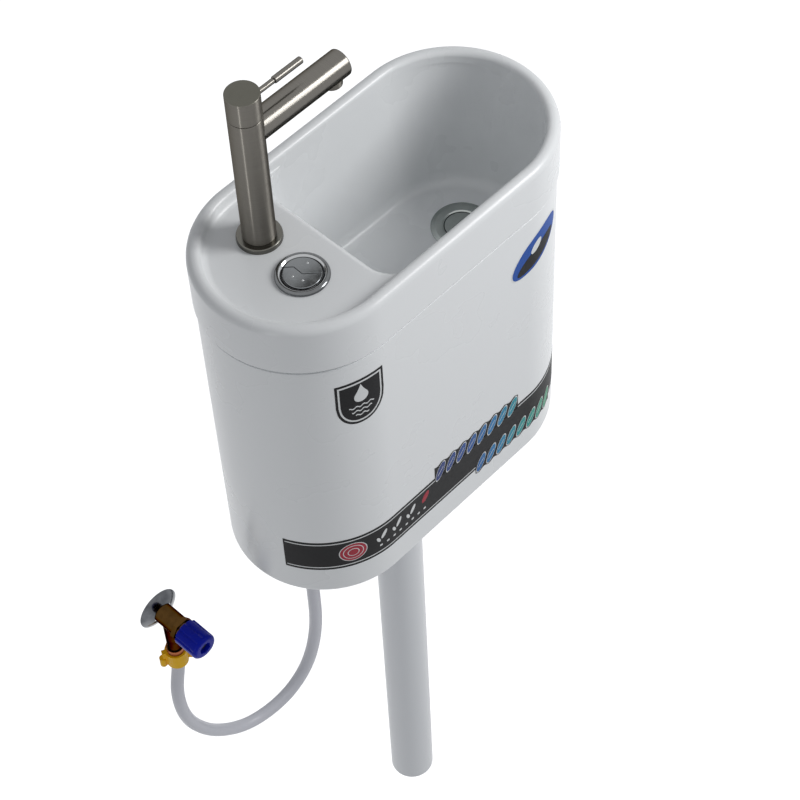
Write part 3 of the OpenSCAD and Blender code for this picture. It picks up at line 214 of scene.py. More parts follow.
M = {
    # moulded ABS: even and glossy, with only a faint drift in its shine
    "white": cloudy("moulded_white_abs", ("E5E7E8", "E7E9EA"), 90, (0.26, 0.30), Specular_IOR_Level=0.4),
    # brushed stainless: the scratches run round the bar and draw the light out along it
    "steel_z": brushed("brushed_stainless_column", 2, ("6A6762", "7C7973"), (0.32, 0.36), 0.002, 1.0),
    "steel_x": brushed("brushed_stainless_spout", 0, ("686662", "7C7974"), (0.22, 0.28), 0.002, 0.8),
    # the cap's faced top: turning marks make it rougher than the sides, and its darker colour is painted
    # shade, for the dark reflection it shows from above
    "cap_top": metal("stainless_cap_top_painted_shade", ("5B5A53", "66655E"), 5, (0.42, 0.52), (0.006, 0.4)),
    # the ring at the tap's foot is turned and polished; its colour, darker than the column's, is painted
    # shade for its dark top
    "ring": metal("stainless_ring_painted_shade", ("5E5D59", "6C6B66"), 9, (0.20, 0.28), (0.006, 1.5)),
    # polished chrome plating: sharp reflections that hardly waver
    "chrome": metal("polished_chrome", ("A9ABAD", "B9BBBD"), 20, (0.07, 0.13), (0.01, 9)),
    # thin pressed sheet, chromed and slightly wavy; its lighter and darker patches are painted reflections
    # in the colour
    "rosette": metal("chromed_sheet_painted_reflections", ("303236", "7C7E82"), 14, (0.10, 0.20), (0.02, 6)),
    # chromed mouldings, a little softer than solid chrome; their darker grey is painted shade, for the dark
    # reflections they show
    "housing": metal("chromed_button_ring_painted_shade", ("626466", "7A7C7E"), 14, (0.08, 0.15), (0.01, 7)),
    "button": metal("chromed_button_face_painted_shade", ("74777A", "85888A"), 9, (0.12, 0.22), (0.01, 4)),
    # polished stainless sheet: bright, with blurred reflections
    "drain": metal("polished_stainless_drain", ("9A9F9D", "AAAFAD"), 16, (0.16, 0.26), (0.01, 5)),
    # zinc plating: satin grey with a fine unevenness
    "zinc": metal("zinc_plated_steel", ("A7A9AA", "BFC1C0"), 6, (0.28, 0.42), (0.02, 1.5)),
    # ground and drawn steel: fine marks that soften the shine
    "pin": metal("ground_steel_pin", ("A4A5A6", "B5B6B6"), 4, (0.22, 0.32), (0.01, 0.8)),
    "wire": metal("drawn_spring_wire", ("8E8F90", "A3A4A5"), 3, (0.30, 0.42), (0.01, 0.5)),
    # moulded rubber: matt black with a slightly uneven skin
    "rubber": cloudy("black_moulded_rubber", ("1B1B1C", "26262A"), 5, (0.55, 0.72), (0.05, 0.8)),
    # moulded nylon: off-white and nearly matt
    "nut": cloudy("white_moulded_nylon", ("D4D6D4", "DEDFDC"), 8, (0.42, 0.52), (0.03, 0.9)),
    # machined brass: yellow, with fine tool marks
    "brass": metal("machined_brass", ("B08A4A", "C39B58"), 5, (0.22, 0.34), (0.015, 0.7)),
    # the valve's body is cast and only roughly polished: dark, with one thin line of light
    "cast": metal("dull_cast_brass", ("2E1E0D", "5C4322"), 10, (0.14, 0.24), (0.02, 1.2),
                  Specular_Tint=lin("80624A")),
    # blackened steel: it hardly shows at the bottom of the knob's recess
    "screw": metal("blackened_steel_screw", ("14151C", "20222C"), 4, (0.35, 0.45), (0.01, 0.8)),
    # bare copper: reddish, with a satin shine
    "copper": metal("copper_collar", ("8A4A2A", "9C5A34"), 4, (0.28, 0.40), (0.02, 0.9)),
    # nylon coloured through: a strong yellow with a weak shine
    "yellow": cloudy("yellow_moulded_nylon", ("EDB60C", "F6C216"), 7, (0.36, 0.46), (0.03, 1.0),
                     Specular_IOR_Level=0.12),
    # moulded polypropylene: deep blue and waxy
    "knob": cloudy("blue_moulded_polypropylene", ("061699", "0A1EA8"), 9, (0.26, 0.36), (0.02, 1.2),
                   Specular_IOR_Level=0.08),
    # plain mouldings inside the tank: satin, and told apart by their colours
    "riser": cloudy("grey_white_pipe", ("D2D5D6", "DDDFDF"), 20, (0.35, 0.45), (0.02, 3)),
    "valve": cloudy("natural_white_moulding", ("DADBD7", "E3E3DF"), 14, (0.34, 0.46), (0.03, 1.0)),
    "valve_blue": cloudy("pale_blue_moulding", ("7F9EC2", "8FABCB"), 12, (0.34, 0.46), (0.03, 1.0)),
    "lever": cloudy("orange_moulding", ("D8701E", "E27D2A"), 10, (0.34, 0.46), (0.03, 1.0)),
    "float": cloudy("blue_float_moulding", ("2C5AAA", "3566B6"), 10, (0.26, 0.38), (0.03, 1.2)),
    # silicone: soft matt red
    "seal": cloudy("red_silicone_seal", ("8F2019", "A02A20"), 5, (0.48, 0.60), (0.04, 0.7)),
    # extruded along its length: faint lengthwise bands
    "pipe": cloudy("white_extruded_pipe", ("D9DCDF", "E1E3E6"), 30, (0.28, 0.36), (0.01, 14), (1, 1, 0.1),
                   Specular_IOR_Level=0.4),
    # soft plain hose: slightly grey white with a broad quiet shine
    "hose": cloudy("white_soft_hose", ("CACBD2", "D2D3DA"), 22, (0.30, 0.40), (0.03, 7),
                   Specular_IOR_Level=0.4),
    # printed vinyl: the darker the ink, the less its film shines
    "ink_black": ink("printed_black_vinyl", ("0E0E10", "151517"), 0.08),
    "ink_white": ink("printed_white_vinyl", ("DCDEDE", "E4E6E6"), 0.2),
    "ink_red": ink("printed_red_vinyl", ("9E2C3C", "AE3846"), 0.1),
    "ink_blue": ink("printed_blue_vinyl", ("1C4A9C", "2455A8"), 0.1),
    "ink_fade": printed_fade(),
}

# The solids that are made of each material
MADE_OF = {
    "white": "cistern_tank basin_top",
    "steel_z": "tap_column tap_aerator tap_cap",
    "steel_x": "tap_spout tap_lever",
    "ring": "tap_ring",
    "chrome": "hose_nut",
    "rosette": "wall_rosette",
    "housing": "button_housing",
    "button": "full_flush_button half_flush_button",
    "drain": "drain_flange drain_flap",
    "zinc": "wall_bolts",
    "pin": "drain_pin rocker_pin float_arm_pin stop_stem",
    "wire": "full_flush_spring half_flush_spring",
    "rubber": "wall_pads bolt_washers drain_gasket tap_washer flush_gasket inlet_washer pipe_sleeve",
    "nut": "drain_nut button_nut flush_nut inlet_nut",
    "brass": "tap_cartridge tap_shank tap_nut riser_nuts",
    "cast": "stop_valve_body",
    "screw": "knob_screw",
    "yellow": "wing_nut",
    "knob": "stop_knob",
    "riser": "tap_riser",
    "valve": "full_flush_rod half_flush_rod flush_valve_body valve_cage overflow_tube inlet_manifold"
             " fill_column",
    "valve_blue": "valve_bridge half_flush_float fill_head",
    "lever": "full_rocker half_rocker float_arm",
    "float": "float_cup",
    "seal": "flush_seal",
    "pipe": "flush_pipe",
    "hose": "supply_hose",
}
NODE_MATERIAL = {node: key for key, nodes in MADE_OF.items() for node in nodes.split()}


def dress_nodes():
    """Gives every carried-over solid its material."""
    for name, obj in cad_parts.items():
        obj.data.materials.clear()
        obj.data.materials.append(M[NODE_MATERIAL[name]])


dress_nodes()


# Surfaces
def strip(base, shape, loop):
    """Quads between neighbouring points of a grid's closed rows, and the row that each begins in."""
    n, m = shape
    i = np.arange(n if loop else n - 1)[:, None]
    j = np.arange(m)[None, :]
    i2, j2 = (i + 1) % n, (j + 1) % m
    quads = np.stack([base + i * m + j, base + i2 * m + j, base + i2 * m + j2, base + i * m + j2], -1)
    return quads.reshape(-1, 4), np.broadcast_to(i, quads.shape[:2]).ravel()


def piece(name, parts, material, slot, body="frame", node=None, bands=()):
    """One closed mesh from parts (grid, loop, start, end), the grids in millimetres.

    A grid's rows are closed rings, and with loop its last row joins its first. start and end close it
    at its first and last row: None, "face" for one flat face, or a point that the row fans in to. node
    is the solid it replaces. bands gives rows another material: (first row, last row, key). If the
    volume comes out negative, all the faces are turned round.
    """
    points, quads, rows, fans, flats = [], [], [], [], []
    base = 0
    for grid, loop, start, end in parts:
        n, m = grid.shape[:2]
        points.append(grid.reshape(-1, 3))
        q, r = strip(base, (n, m), loop)
        quads.append(q)
        rows.append(r)
        first = base + np.arange(m)
        last = first + (n - 1) * m
        base += n * m
        for ring, how in ((first, start), (last[::-1], end)):
            if isinstance(how, str):
                flats.append(ring.tolist())
            elif how is not None:
                points.append(np.array([how], float))
                fans.append(np.stack([ring, np.roll(ring, -1), np.full(m, base)], -1))
                base += 1
    points = np.vstack(points) * MM
    quads, rows = np.vstack(quads), np.concatenate(rows)
    fans = np.vstack(fans) if fans else np.zeros((0, 3), int)
    fan_rows = np.full(len(fans), -1)
    tris = np.vstack([quads[:, [0, 1, 2]], quads[:, [0, 2, 3]], fans]
                     + [np.array([(f[0], f[k], f[k + 1]) for k in range(1, len(f) - 1)]) for f in flats])
    a, b, c = (points[tris[:, k]] for k in range(3))
    if np.einsum("ij,ij->i", a, np.cross(b, c)).sum() < 0:
        quads, fans, flats = quads[:, ::-1], fans[:, ::-1], [f[::-1] for f in flats]
    mesh = bpy.data.meshes.new(name)
    mesh.from_pydata(points.tolist(), [], quads.tolist() + fans.tolist() + flats)
    mesh.validate()
    mesh.materials.append(M[material])
    index = np.zeros(len(mesh.polygons), int)
    for k, (low, high, key) in enumerate(bands, 1):
        mesh.materials.append(M[key])
        chosen = np.concatenate([(rows >= low) & (rows < high), (fan_rows >= low) & (fan_rows < high)])
        index[:len(chosen)][chosen] = k
    mesh.polygons.foreach_set("material_index", index)
    return finish_piece(name, mesh, 38, body, node)


def finish_piece(name, mesh, crease, body, node):
    """Puts the mesh in the scene, smooth but for turns of over crease degrees, on its body."""
    mesh.polygons.foreach_set("use_smooth", np.ones(len(mesh.polygons), bool))
    mesh.set_sharp_from_angle(angle=math.radians(crease))
    mesh.update()
    ob = bpy.data.objects.new(name, mesh)
    bpy.context.collection.objects.link(ob)
    even = ob.modifiers.new("even_shading", "WEIGHTED_NORMAL")
    even.keep_sharp = True
    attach(ob, body)
    if node:
        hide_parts(node)
    return ob


def arc(cx, cy, r, a, b, n):
    """Points of an arc from angle a to angle b in degrees."""
    t = np.radians(np.linspace(a, b, n + 1))
    return np.column_stack([cx + r * np.cos(t), cy + r * np.sin(t)])


CORNER_STEPS = 4


def rounded(corners):
    """Outline whose corners (x, y, r) become arcs that touch both sides; r 0 stays sharp.

    The arc's middle lies r / sin(half the corner) from the corner, and its points are blended from
    the two touching points by the sines of the angles left and done.
    """
    c = np.array(corners, float)
    out = []
    for k, (x, y, r) in enumerate(c):
        p = np.array([x, y])
        if r == 0:
            out.append(p[None])
            continue
        a, b = c[k - 1, :2] - p, c[(k + 1) % len(c), :2] - p
        a, b = a / np.linalg.norm(a), b / np.linalg.norm(b)
        half = math.acos(np.clip(a @ b, -1, 1)) / 2
        mid = p + (a + b) / np.linalg.norm(a + b) * r / math.sin(half)
        t0, t1 = p + a * r / math.tan(half) - mid, p + b * r / math.tan(half) - mid
        whole = math.pi - 2 * half
        f = np.linspace(0, 1, CORNER_STEPS + 1)[:, None]
        out.append(mid + (np.sin((1 - f) * whole) * t0 + np.sin(f * whole) * t1) / math.sin(whole))
    return np.vstack(out)


def full_turn(sides):
    """Angles evenly round a circle, from 0."""
    return np.linspace(0, 2 * np.pi, sides, endpoint=False)


def revolve(profile, centre, axis, sides):
    """Profile points (r, h) become (r cos t, r sin t, h), with h along z, x, or -y into the room."""
    t = full_turn(sides)
    u, v = profile[:, :1] * np.cos(t), profile[:, :1] * np.sin(t)
    w = np.repeat(profile[:, 1:], sides, 1)
    return np.stack({"z": (u, v, w), "x": (w, u, v), "-y": (u, -w, v)}[axis], -1) + np.array(centre)


def turned(name, profile, centre, material, axis="z", sides=96, **more):
    """A turned piece: a ring, or a solid with two poles if its profile begins and ends on the axis."""
    grid = revolve(profile, centre, axis, sides)
    if profile[0, 0] > 0:
        part = (grid, True, None, None)
    else:
        part = (grid[1:-1], False, grid[0, 0], grid[-1, 0])
    piece(name, [part], material, **more)


def eased(node, width, body="frame", where=None):
    """A copy of the node's own shape with its sharp edges rounded to a radius of width millimetres.

    Its loose triangles are merged, its flat faces are made whole again, and the edges that turn by
    more than 30 degrees get a small round in two steps. where picks the edges by their middle, in mm.
    """
    merge, flat, sharp_turn = 2e-6, math.radians(0.5), math.radians(30)
    bm = bmesh.new()
    bm.from_mesh(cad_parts[node].data)
    bmesh.ops.remove_doubles(bm, verts=bm.verts, dist=merge)
    bmesh.ops.dissolve_limit(bm, angle_limit=flat, verts=bm.verts, edges=bm.edges)
    sharp = [e for e in bm.edges if len(e.link_faces) == 2 and e.calc_face_angle(0) > sharp_turn
             and (where is None or where((e.verts[0].co + e.verts[1].co) / 2 * 1000))]
    bmesh.ops.bevel(bm, geom=sharp, offset=width * MM, offset_type="OFFSET", segments=2, profile=0.5,
                    affect="EDGES", clamp_overlap=True)
    mesh = bpy.data.meshes.new(node + "_eased")
    bm.to_mesh(mesh)
    bm.free()
    mesh.materials.append(M[NODE_MATERIAL[node]])
    finish_piece(node + "_eased", mesh, 42, body, node)


# Supply hose: the route's points from the stop valve's nut, down in a loop, and up to the tank's inlet
VALVE_LEG = [(0, 0, 0), (0, 0, -3.5), (-0.7, 0, -12), (-3, -0.5, -22), (-6.8, -1.2, -34), (-10.8, -2.3, -48),
             (-13.2, -3.5, -64), (-14, -4.5, -82), (-13.5, -5.5, -99), (-11.5, -6.5, -117), (-5, -8.5, -143),
             (5, -11, -166), (18, -14, -188), (34, -16.5, -207), (53, -19.5, -223)]
INLET_LEG = [(-121, 29.5, -420.5), (-107, 27, -425), (-92, 24.5, -426), (-77, 21.5, -423.5),
             (-63, 18.5, -417.5), (-50.5, 15.5, -409), (-40, 13, -398), (-31, 10.5, -385.5),
             (-23.5, 8.5, -372), (-17.5, 6.5, -357.5), (-11, 4.5, -336), (-6, 3, -313), (-2.5, 1.5, -287),
             (-0.5, 0.5, -259), (0, 0, -231), (0, 0, -190), (0, 0, -145), (0, 0, -100), (0, 0, -50),
             (0, 0, -15), (0, 0, 0)]
OUTLET_Z, INLET_X, INLET_Z = -579, -112, -389
HOSE = np.vstack([np.array(VALVE_LEG) + [STOP_X, OUTLET_Y, OUTLET_Z],
                  np.array(INLET_LEG) + [INLET_X, TAP_Y, INLET_Z]])
HOSE_R, HOSE_STEP, HOSE_PASSES = 8.45, 6.0, 6


def route_smooth(points, step, passes):
    """Smooth curve through the points, walked in even steps, with both ends kept.

    Between two points it is the cubic whose slope at each of them is half the way from the point
    before to the point after. Each pass then moves every point half way to its neighbours' middle.
    """
    ext = np.vstack([2 * points[0] - points[1], points, 2 * points[-1] - points[-2]])
    a, b, c, d = (ext[k:len(ext) - 3 + k, None] for k in range(4))
    t = np.linspace(0, 1, 24, endpoint=False)[None, :, None]
    curve = 0.5 * (2 * b + (c - a) * t + (2 * a - 5 * b + 4 * c - d) * t ** 2
                   + (3 * b - a - 3 * c + d) * t ** 3)
    curve = np.vstack([curve.reshape(-1, 3), points[-1:]])
    dist = np.r_[0, np.cumsum(np.linalg.norm(np.diff(curve, axis=0), axis=1))]
    even = np.linspace(0, dist[-1], int(dist[-1] / step) + 1)
    walk = np.column_stack([np.interp(even, dist, curve[:, k]) for k in range(3)])
    for _ in range(passes):
        walk[1:-1] = (walk[:-2] + 2 * walk[1:-1] + walk[2:]) / 4
    return walk


def tube_rings(path, radius, sides):
    """Rings square to the path: its point plus radius times (cos a) side plus (sin a) up.

    side is square to the path and to Y, along which the path never runs, and up is square to both.
    """
    t = np.gradient(path, axis=0)
    t /= np.linalg.norm(t, axis=1)[:, None]
    side = np.cross([0, 1, 0], t)
    side /= np.linalg.norm(side, axis=1)[:, None]
    up = np.cross(t, side)
    a = full_turn(sides)[None, :, None]
    return path[:, None] + radius * (np.cos(a) * side[:, None] + np.sin(a) * up[:, None])


def supply_hose():
    """Plain white hose of circular section along its smoothed route."""
    path = route_smooth(HOSE, HOSE_STEP, HOSE_PASSES)
    hose = piece("hose_tube", [(tube_rings(path, HOSE_R, 36), False, "face", "face")], "hose",
                 "hose_white", node="supply_hose")


supply_hose()


def stadium(n_arc, n_line):
    """Stadium plan, counterclockwise from the right end of the front: centres and outward directions.

    A point is its centre plus its direction times a radius. The arcs' centres lie at the arcs'
    middles, and along the straights the centre runs with the point.
    """
    t = np.radians(np.linspace(-90, 90, n_arc + 1))
    x = np.linspace(ARC_X, -ARC_X, n_line + 2)[1:-1]
    centre_x = np.concatenate([np.full(t.size, ARC_X), x, np.full(t.size, -ARC_X), -x])
    out_x = np.concatenate([np.cos(t), 0 * x, -np.cos(t), 0 * x])
    out_y = np.concatenate([np.sin(t), 0 * x + 1, -np.sin(t), 0 * x - 1])
    return (np.column_stack([centre_x, np.full(centre_x.size, MID_Y)]), np.column_stack([out_x, out_y]))


def lift(plan, z):
    """Rows of plan points (rows, n, 2), or one row repeated, raised to the heights z.

    z has one height for each row, or one for each point of each row.
    """
    z = np.asarray(z, float)
    z = z[:, None] if z.ndim == 1 else z
    plan = np.broadcast_to(plan, (z.shape[0], *plan.shape[-2:]))
    return np.concatenate([plan, np.broadcast_to(z, plan.shape[:2])[..., None]], -1)


def swept(profile, centre, out):
    """A profile of (inset, z) carried round the stadium, one row for each of its points."""
    profile = np.asarray(profile, float)
    return lift(centre + out * (END_R - profile[:, :1, None]), profile[:, 1])


def hole_rows(x, y, radius, heights, like):
    """Rows round a vertical hole, each point at the same angle from its centre as in the row like."""
    away = like[:, :2] - [x, y]
    away = away / np.linalg.norm(away, axis=1)[:, None]
    return lift(np.array([x, y]) + radius * away, heights)


def between(first, last, n):
    """n rows evenly between two rows."""
    f = np.linspace(0, 1, n + 2)[1:-1, None, None]
    return first + (last - first) * f


def tank_shell():
    """Tank: the wall's section with its rounded foot carried round the stadium, closed below by a floor.

    The rows run up the outside, over the top edge, down the inside, and across the floor to the hole
    of the flush valve and back underneath.
    """
    foot_r, valve_hole_r, edge = 8, 24.4, 0.4
    centre, out = stadium(64, 40)
    foot = TANK_IN + foot_r
    inner = TANK_IN + TANK_WALL
    turn, tight = arc(0, 0, foot_r, -90, 0, 10), arc(0, 0, foot_r - TANK_WALL, 0, -90, 6)
    # the rebate at the top leaves the shadow gap under the skirt
    rebate_in, rebate_z = 4.6, PART_Z - 5.2
    outside = np.vstack([np.column_stack([foot - turn[:, 0], TANK_Z + foot_r + turn[:, 1]]),
                         [(TANK_IN, z) for z in (-346, -300, -200, -100, 0, 50)],
                         [(TANK_IN, rebate_z - edge), (TANK_IN + edge, rebate_z), (rebate_in, rebate_z),
                          (rebate_in, PART_Z - edge), (rebate_in + edge, PART_Z)]])
    inside = np.vstack([[(inner - edge, PART_Z), (inner, PART_Z - edge)],
                        [(inner, z) for z in (20, -120, -250)],
                        np.column_stack([foot - tight[:, 0], TANK_Z + foot_r + tight[:, 1]])])
    skin = np.concatenate([swept(outside, centre, out), swept(inside, centre, out)])
    floor_in = hole_rows(0, MID_Y, valve_hole_r, [TANK_Z + TANK_WALL], skin[-1])
    floor_out = hole_rows(0, MID_Y, valve_hole_r, [TANK_Z], skin[0])
    grid = np.concatenate([skin, between(skin[-1], floor_in[0], 5), floor_in, floor_out,
                           between(floor_out[0], skin[0], 5)])
    piece("tank_shell", [(grid, True, None, None)], "white", "ceramic", node="cistern_tank")


tank_shell()


# Basin top
BASIN_C, BASIN_N = stadium(96, 60)
# Left of the corners' centres the bowl's outline leaves the rim's: the rim's points there are shared
# out along a quarter turn, the straight edge of the deck and a second quarter turn
CORNER_X = RIDGE_X + CORNER_R
CORNER_Y = BOWL_R - CORNER_R


def bowl_plan():
    """Centres, directions and radii of the bowl's outline, one point for each of the rim's points."""
    rim = BASIN_C + BASIN_N * BOWL_R
    left = rim[:, 0] < CORNER_X
    run = np.where(left, np.r_[0, np.linalg.norm(np.diff(rim, axis=0), axis=1)], 0)
    first = np.argmax(left)
    run[first] = 1.0
    way = np.cumsum(run) * left
    quarter = math.pi / 2 * CORNER_R
    way *= (2 * quarter + 2 * CORNER_Y) / (way.max() + 1.0)
    on_second = way > quarter + 2 * CORNER_Y
    on_edge = (way >= quarter) & ~on_second
    angle = np.where(on_second, math.pi + (way - quarter - 2 * CORNER_Y) / CORNER_R,
                     np.where(on_edge, math.pi, math.pi / 2 + way / CORNER_R))
    along = np.where(on_second, -CORNER_Y, np.where(on_edge, CORNER_Y - (way - quarter), CORNER_Y))
    centre = np.column_stack([np.full(way.size, CORNER_X), MID_Y + along])
    out = np.column_stack([np.cos(angle), np.sin(angle)])
    pick = left[:, None]
    return (np.where(pick, centre, BASIN_C), np.where(pick, out, BASIN_N),
            np.where(left, CORNER_R, BOWL_R), left)


BOWL_C, BOWL_N, BOWL_RADII, DECK_END = bowl_plan()


def bowl_rows(inset, z):
    """The bowl's outline drawn in by inset, at height z; both of shape (rows,) or (rows, n)."""
    inset = np.asarray(inset, float)
    inset = inset[:, None] if inset.ndim == 1 else inset
    return lift(BOWL_C + BOWL_N * (BOWL_RADII - inset)[..., None], z)


def basin_shell():
    """Basin top: skirt, rolled rim, inner wall, deck, bowl and underside as one closed skin.

    Rows run up the skirt, over the rim's two rolls, down the inner wall that leans 7 degrees, across
    the deck where there is one, over its rolled edge, down the bowl's wall, round its foot, across the
    floor to the drain's hole, and back under everything to the lip inside the tank. Where the deck
    narrows to nothing, its fillet and its roll shrink with it.
    """
    shell, rim_w, roll_out, roll_in = 5.0, 16, 9, 6.5
    edge_r, foot_r, drain_hole_r = 8.0, 16.0, 22.4
    tan, sin, cos = math.tan(LEAN), math.sin(LEAN), math.cos(LEAN)
    top_in = rim_w - roll_in * 0.995
    over, under = arc(0, 0, roll_out, 0, 90, 9), arc(0, 0, roll_in, 90, 173, 9)
    skirt = np.vstack([[(1.0, PART_Z), (0.3, PART_Z + 0.3), (0, PART_Z + 1.0), (0, 75), (0, 112)],
                       np.column_stack([roll_out - over[:, 0], RIM_Z - roll_out + over[:, 1]]),
                       np.column_stack([top_in - under[:, 0], RIM_Z - roll_in + under[:, 1]])])
    wall_in, wall_top = top_in + roll_in * cos, RIM_Z - roll_in + roll_in * sin
    outer = BASIN_C + BASIN_N * (END_R - wall_in - (wall_top - DECK_Z) * tan)
    lip = BOWL_C + BOWL_N * BOWL_RADII[:, None]
    gap = np.where(DECK_END, np.linalg.norm(outer - lip, axis=1), 0)
    way = (lip - outer) / np.maximum(gap, 1e-6)[:, None] * (gap > 1e-6)[:, None]
    soft = np.minimum(edge_r, gap * 0.42)
    # fillet from the leaning wall to the deck
    t = np.radians(np.linspace(0, 83, 7))[:, None]
    fall = DECK_Z + soft * (1 - sin) - soft * (np.sin(LEAN + t) - sin)
    step = -soft * (1 - sin) * tan + soft * (cos - np.cos(LEAN + t))
    fillet = lift(outer - BASIN_N * step[..., None], fall)
    # deck, then its edge rolled over the bowl
    edge = soft * (1 - sin) / cos
    near, far = fillet[-1, :, :2], lip - way * edge[:, None]
    deck = lift(near + (far - near) * np.array([0.25, 0.5, 0.75])[:, None, None], np.full(3, DECK_Z))
    t = np.radians(np.linspace(0, 83, 9))[:, None]
    roll = lift(lip + BOWL_N * (edge - soft * np.sin(t))[..., None], DECK_Z - soft * (1 - np.cos(t)))
    # bowl
    run = (DECK_Z - BOWL_Z - foot_r + foot_r * sin) / cos
    foot_d = run * sin + foot_r * cos
    low = BOWL_Z + foot_r * (1 - sin)
    z = roll[-1, :, 2] + (low - roll[-1, :, 2]) * np.linspace(0, 1, 10)[1:, None]
    wall = bowl_rows((DECK_Z - z) * tan, z)
    bend = arc(0, 0, foot_r, -7, -90, 9)[1:]
    foot = bowl_rows(foot_d - bend[:, 0], BOWL_Z + foot_r + bend[:, 1])
    hole = hole_rows(DRAIN_X, MID_Y, drain_hole_r, [BOWL_Z, BOWL_Z - shell], foot[-1])
    # underside, a shell's thickness away
    below = bowl_rows([foot_d - 4, foot_d - 18], [BOWL_Z - shell, BOWL_Z + 8])
    back_z = np.array([0.0, 50.0, DECK_Z - 14])
    back = bowl_rows((DECK_Z - back_z) * tan - 4.4, back_z)
    # under the rim and down the lip that locates the top inside the tank
    lip_in, lip_out, lip_z = 10.3, 7.3, PART_Z - 12
    rest = swept([(14.0, DECK_Z - shell - 4), (shell, DECK_Z - shell - 12), (shell, PART_Z + 6),
                  (lip_in, PART_Z + 4), (lip_in, lip_z), (lip_out, lip_z), (lip_out, PART_Z)],
                 BASIN_C, BASIN_N)
    grid = np.concatenate([swept(skirt, BASIN_C, BASIN_N), fillet, deck, roll, wall, foot,
                           between(foot[-1], hole[0], 7), hole, between(hole[1], below[0], 3),
                           below, back, rest])
    piece("basin_shell", [(grid, True, None, None)], "white", "ceramic", node="basin_top")


basin_shell()


# Tap: pieces turned round the column's axis or the spout's
TAP_AT = (TAP_X, TAP_Y, 0)
COLUMN_R, COLUMN_Z, COLUMN_TOP = 18, 119.05, 291.7
SPOUT_R, SPOUT_Z, SPOUT_END, LEVER_Z = 15.5, 266, 132, 308.5
AERATOR_X, AERATOR_R = -10.5, 11.5


def tap_ring():
    """Ring at the column's foot, slightly wider below than above."""
    ring = rounded([(9.6, 119, 0.3), (24.2, 119, 1.6), (24.75, 113.05, 0.4), (9.6, 113.05, 0.3)])
    turned("tap_base_ring", ring, TAP_AT, "ring", node="tap_ring", slot="tap_steel")


def tap_column():
    """Tube with a narrower bore in its foot."""
    tube = rounded([(9.6, 131, 0), (16, 131, 0), (16, COLUMN_TOP, 0.3), (COLUMN_R, COLUMN_TOP, 0.7),
                    (COLUMN_R, COLUMN_Z, 0.4), (9.6, COLUMN_Z, 0.3)])[::-1]
    turned("tap_column_tube", tube, TAP_AT, "steel_z", node="tap_column", slot="tap_steel")


def tap_cap():
    """Cap on a spigot, as wide as the column; its flat top is a band of its own material, darker as painted
    shade.
    """
    top = rounded([(0, TAP_TOP, 0), (COLUMN_R, TAP_TOP, 0.9), (COLUMN_R, 292.5, 0.7), (5, 292.5, 0),
                   (5, 276.5, 0), (0, 276.5, 0)])
    face = np.vstack([top[:1], [(6, TAP_TOP), (12, TAP_TOP), (16.4, TAP_TOP)], top[1:]])
    turned("tap_cap_turned", face, TAP_AT, "steel_z", node="tap_cap", body="tap_handle", slot="tap_steel",
           bands=[(-1, 5, "cap_top")])


def tap_lever():
    """Thin rod with a thicker grip, and a groove between them."""
    lever = rounded([(0, 79, 0), (4, 79, 1.3), (4, 41.6, 0.4), (2.3, 41.0, 0), (2.3, 40.2, 0),
                     (3, 39.8, 0.2), (3, 10, 0), (0, 10, 0)])
    turned("tap_lever_rod", lever, (TAP_X, TAP_Y, LEVER_Z), "steel_x", "x", 48, node="tap_lever",
           body="tap_handle", slot="tap_steel")


def tap_spout():
    """Round bar whose root follows the column's face: x = sqrt(18.02^2 - y^2), from the column's axis."""
    at, face_r = (TAP_X, TAP_Y, SPOUT_Z), 18.02
    tip = rounded([(0, SPOUT_END, 0), (SPOUT_R, SPOUT_END, 2.0), (SPOUT_R, 30, 0)])
    root = revolve(np.array([(r, 0.0) for r in (SPOUT_R, 12.0, 8.0, 4.0)]), at, "x", 96)
    root[..., 0] = TAP_X + np.sqrt(face_r ** 2 - (root[..., 1] - TAP_Y) ** 2)
    grid = np.concatenate([revolve(tip[1:], at, "x", 96), root])
    ends = [(TAP_X + reach, TAP_Y, SPOUT_Z) for reach in (SPOUT_END, face_r)]
    piece("tap_spout_tube", [(grid, False, *ends)], "steel_x", "tap_steel", node="tap_spout")


def tap_aerator():
    """Short ring under the spout's tip, with its screen set back from the edge."""
    screen = rounded([(0, 256.5, 0), (AERATOR_R, 256.5, 0), (AERATOR_R, 247, 0.8), (9.5, 247, 0.5),
                      (9.5, 249, 0), (0, 249, 0)])
    turned("tap_aerator_ring", screen, (AERATOR_X, TAP_Y, 0), "steel_z", node="tap_aerator",
           slot="tap_steel")


tap_ring()
tap_column()
tap_cap()
tap_lever()
tap_spout()
tap_aerator()


# Flush button
def button_dots():
    """Raised dots on the halves: two on the near one and one on the far one, as small domes.

    A dome's section is a quarter ellipse, 1.3 mm out and 0.45 mm high.
    """
    dots = (("full_dot_a", -9.6, -4.2, "full_button"), ("full_dot_b", 0.4, -10.1, "full_button"),
            ("half_dot", 5.8, 12.6, "half_button"))
    c, s = math.cos(BUTTON_TURN), math.sin(BUTTON_TURN)
    t = np.radians(np.linspace(0, 90, 5))
    dome = np.column_stack([1.3 * np.sin(t), 116.95 + 0.45 * np.cos(t)])
    dome = np.vstack([dome, [(1.3, 116.2), (0, 116.2)]])
    for name, u, v, body in dots:
        turned(name, dome, (BUTTON[0] + u * c - v * s, BUTTON[1] + u * s + v * c, 0), "chrome", sides=24,
               body=body, slot="button_chrome")


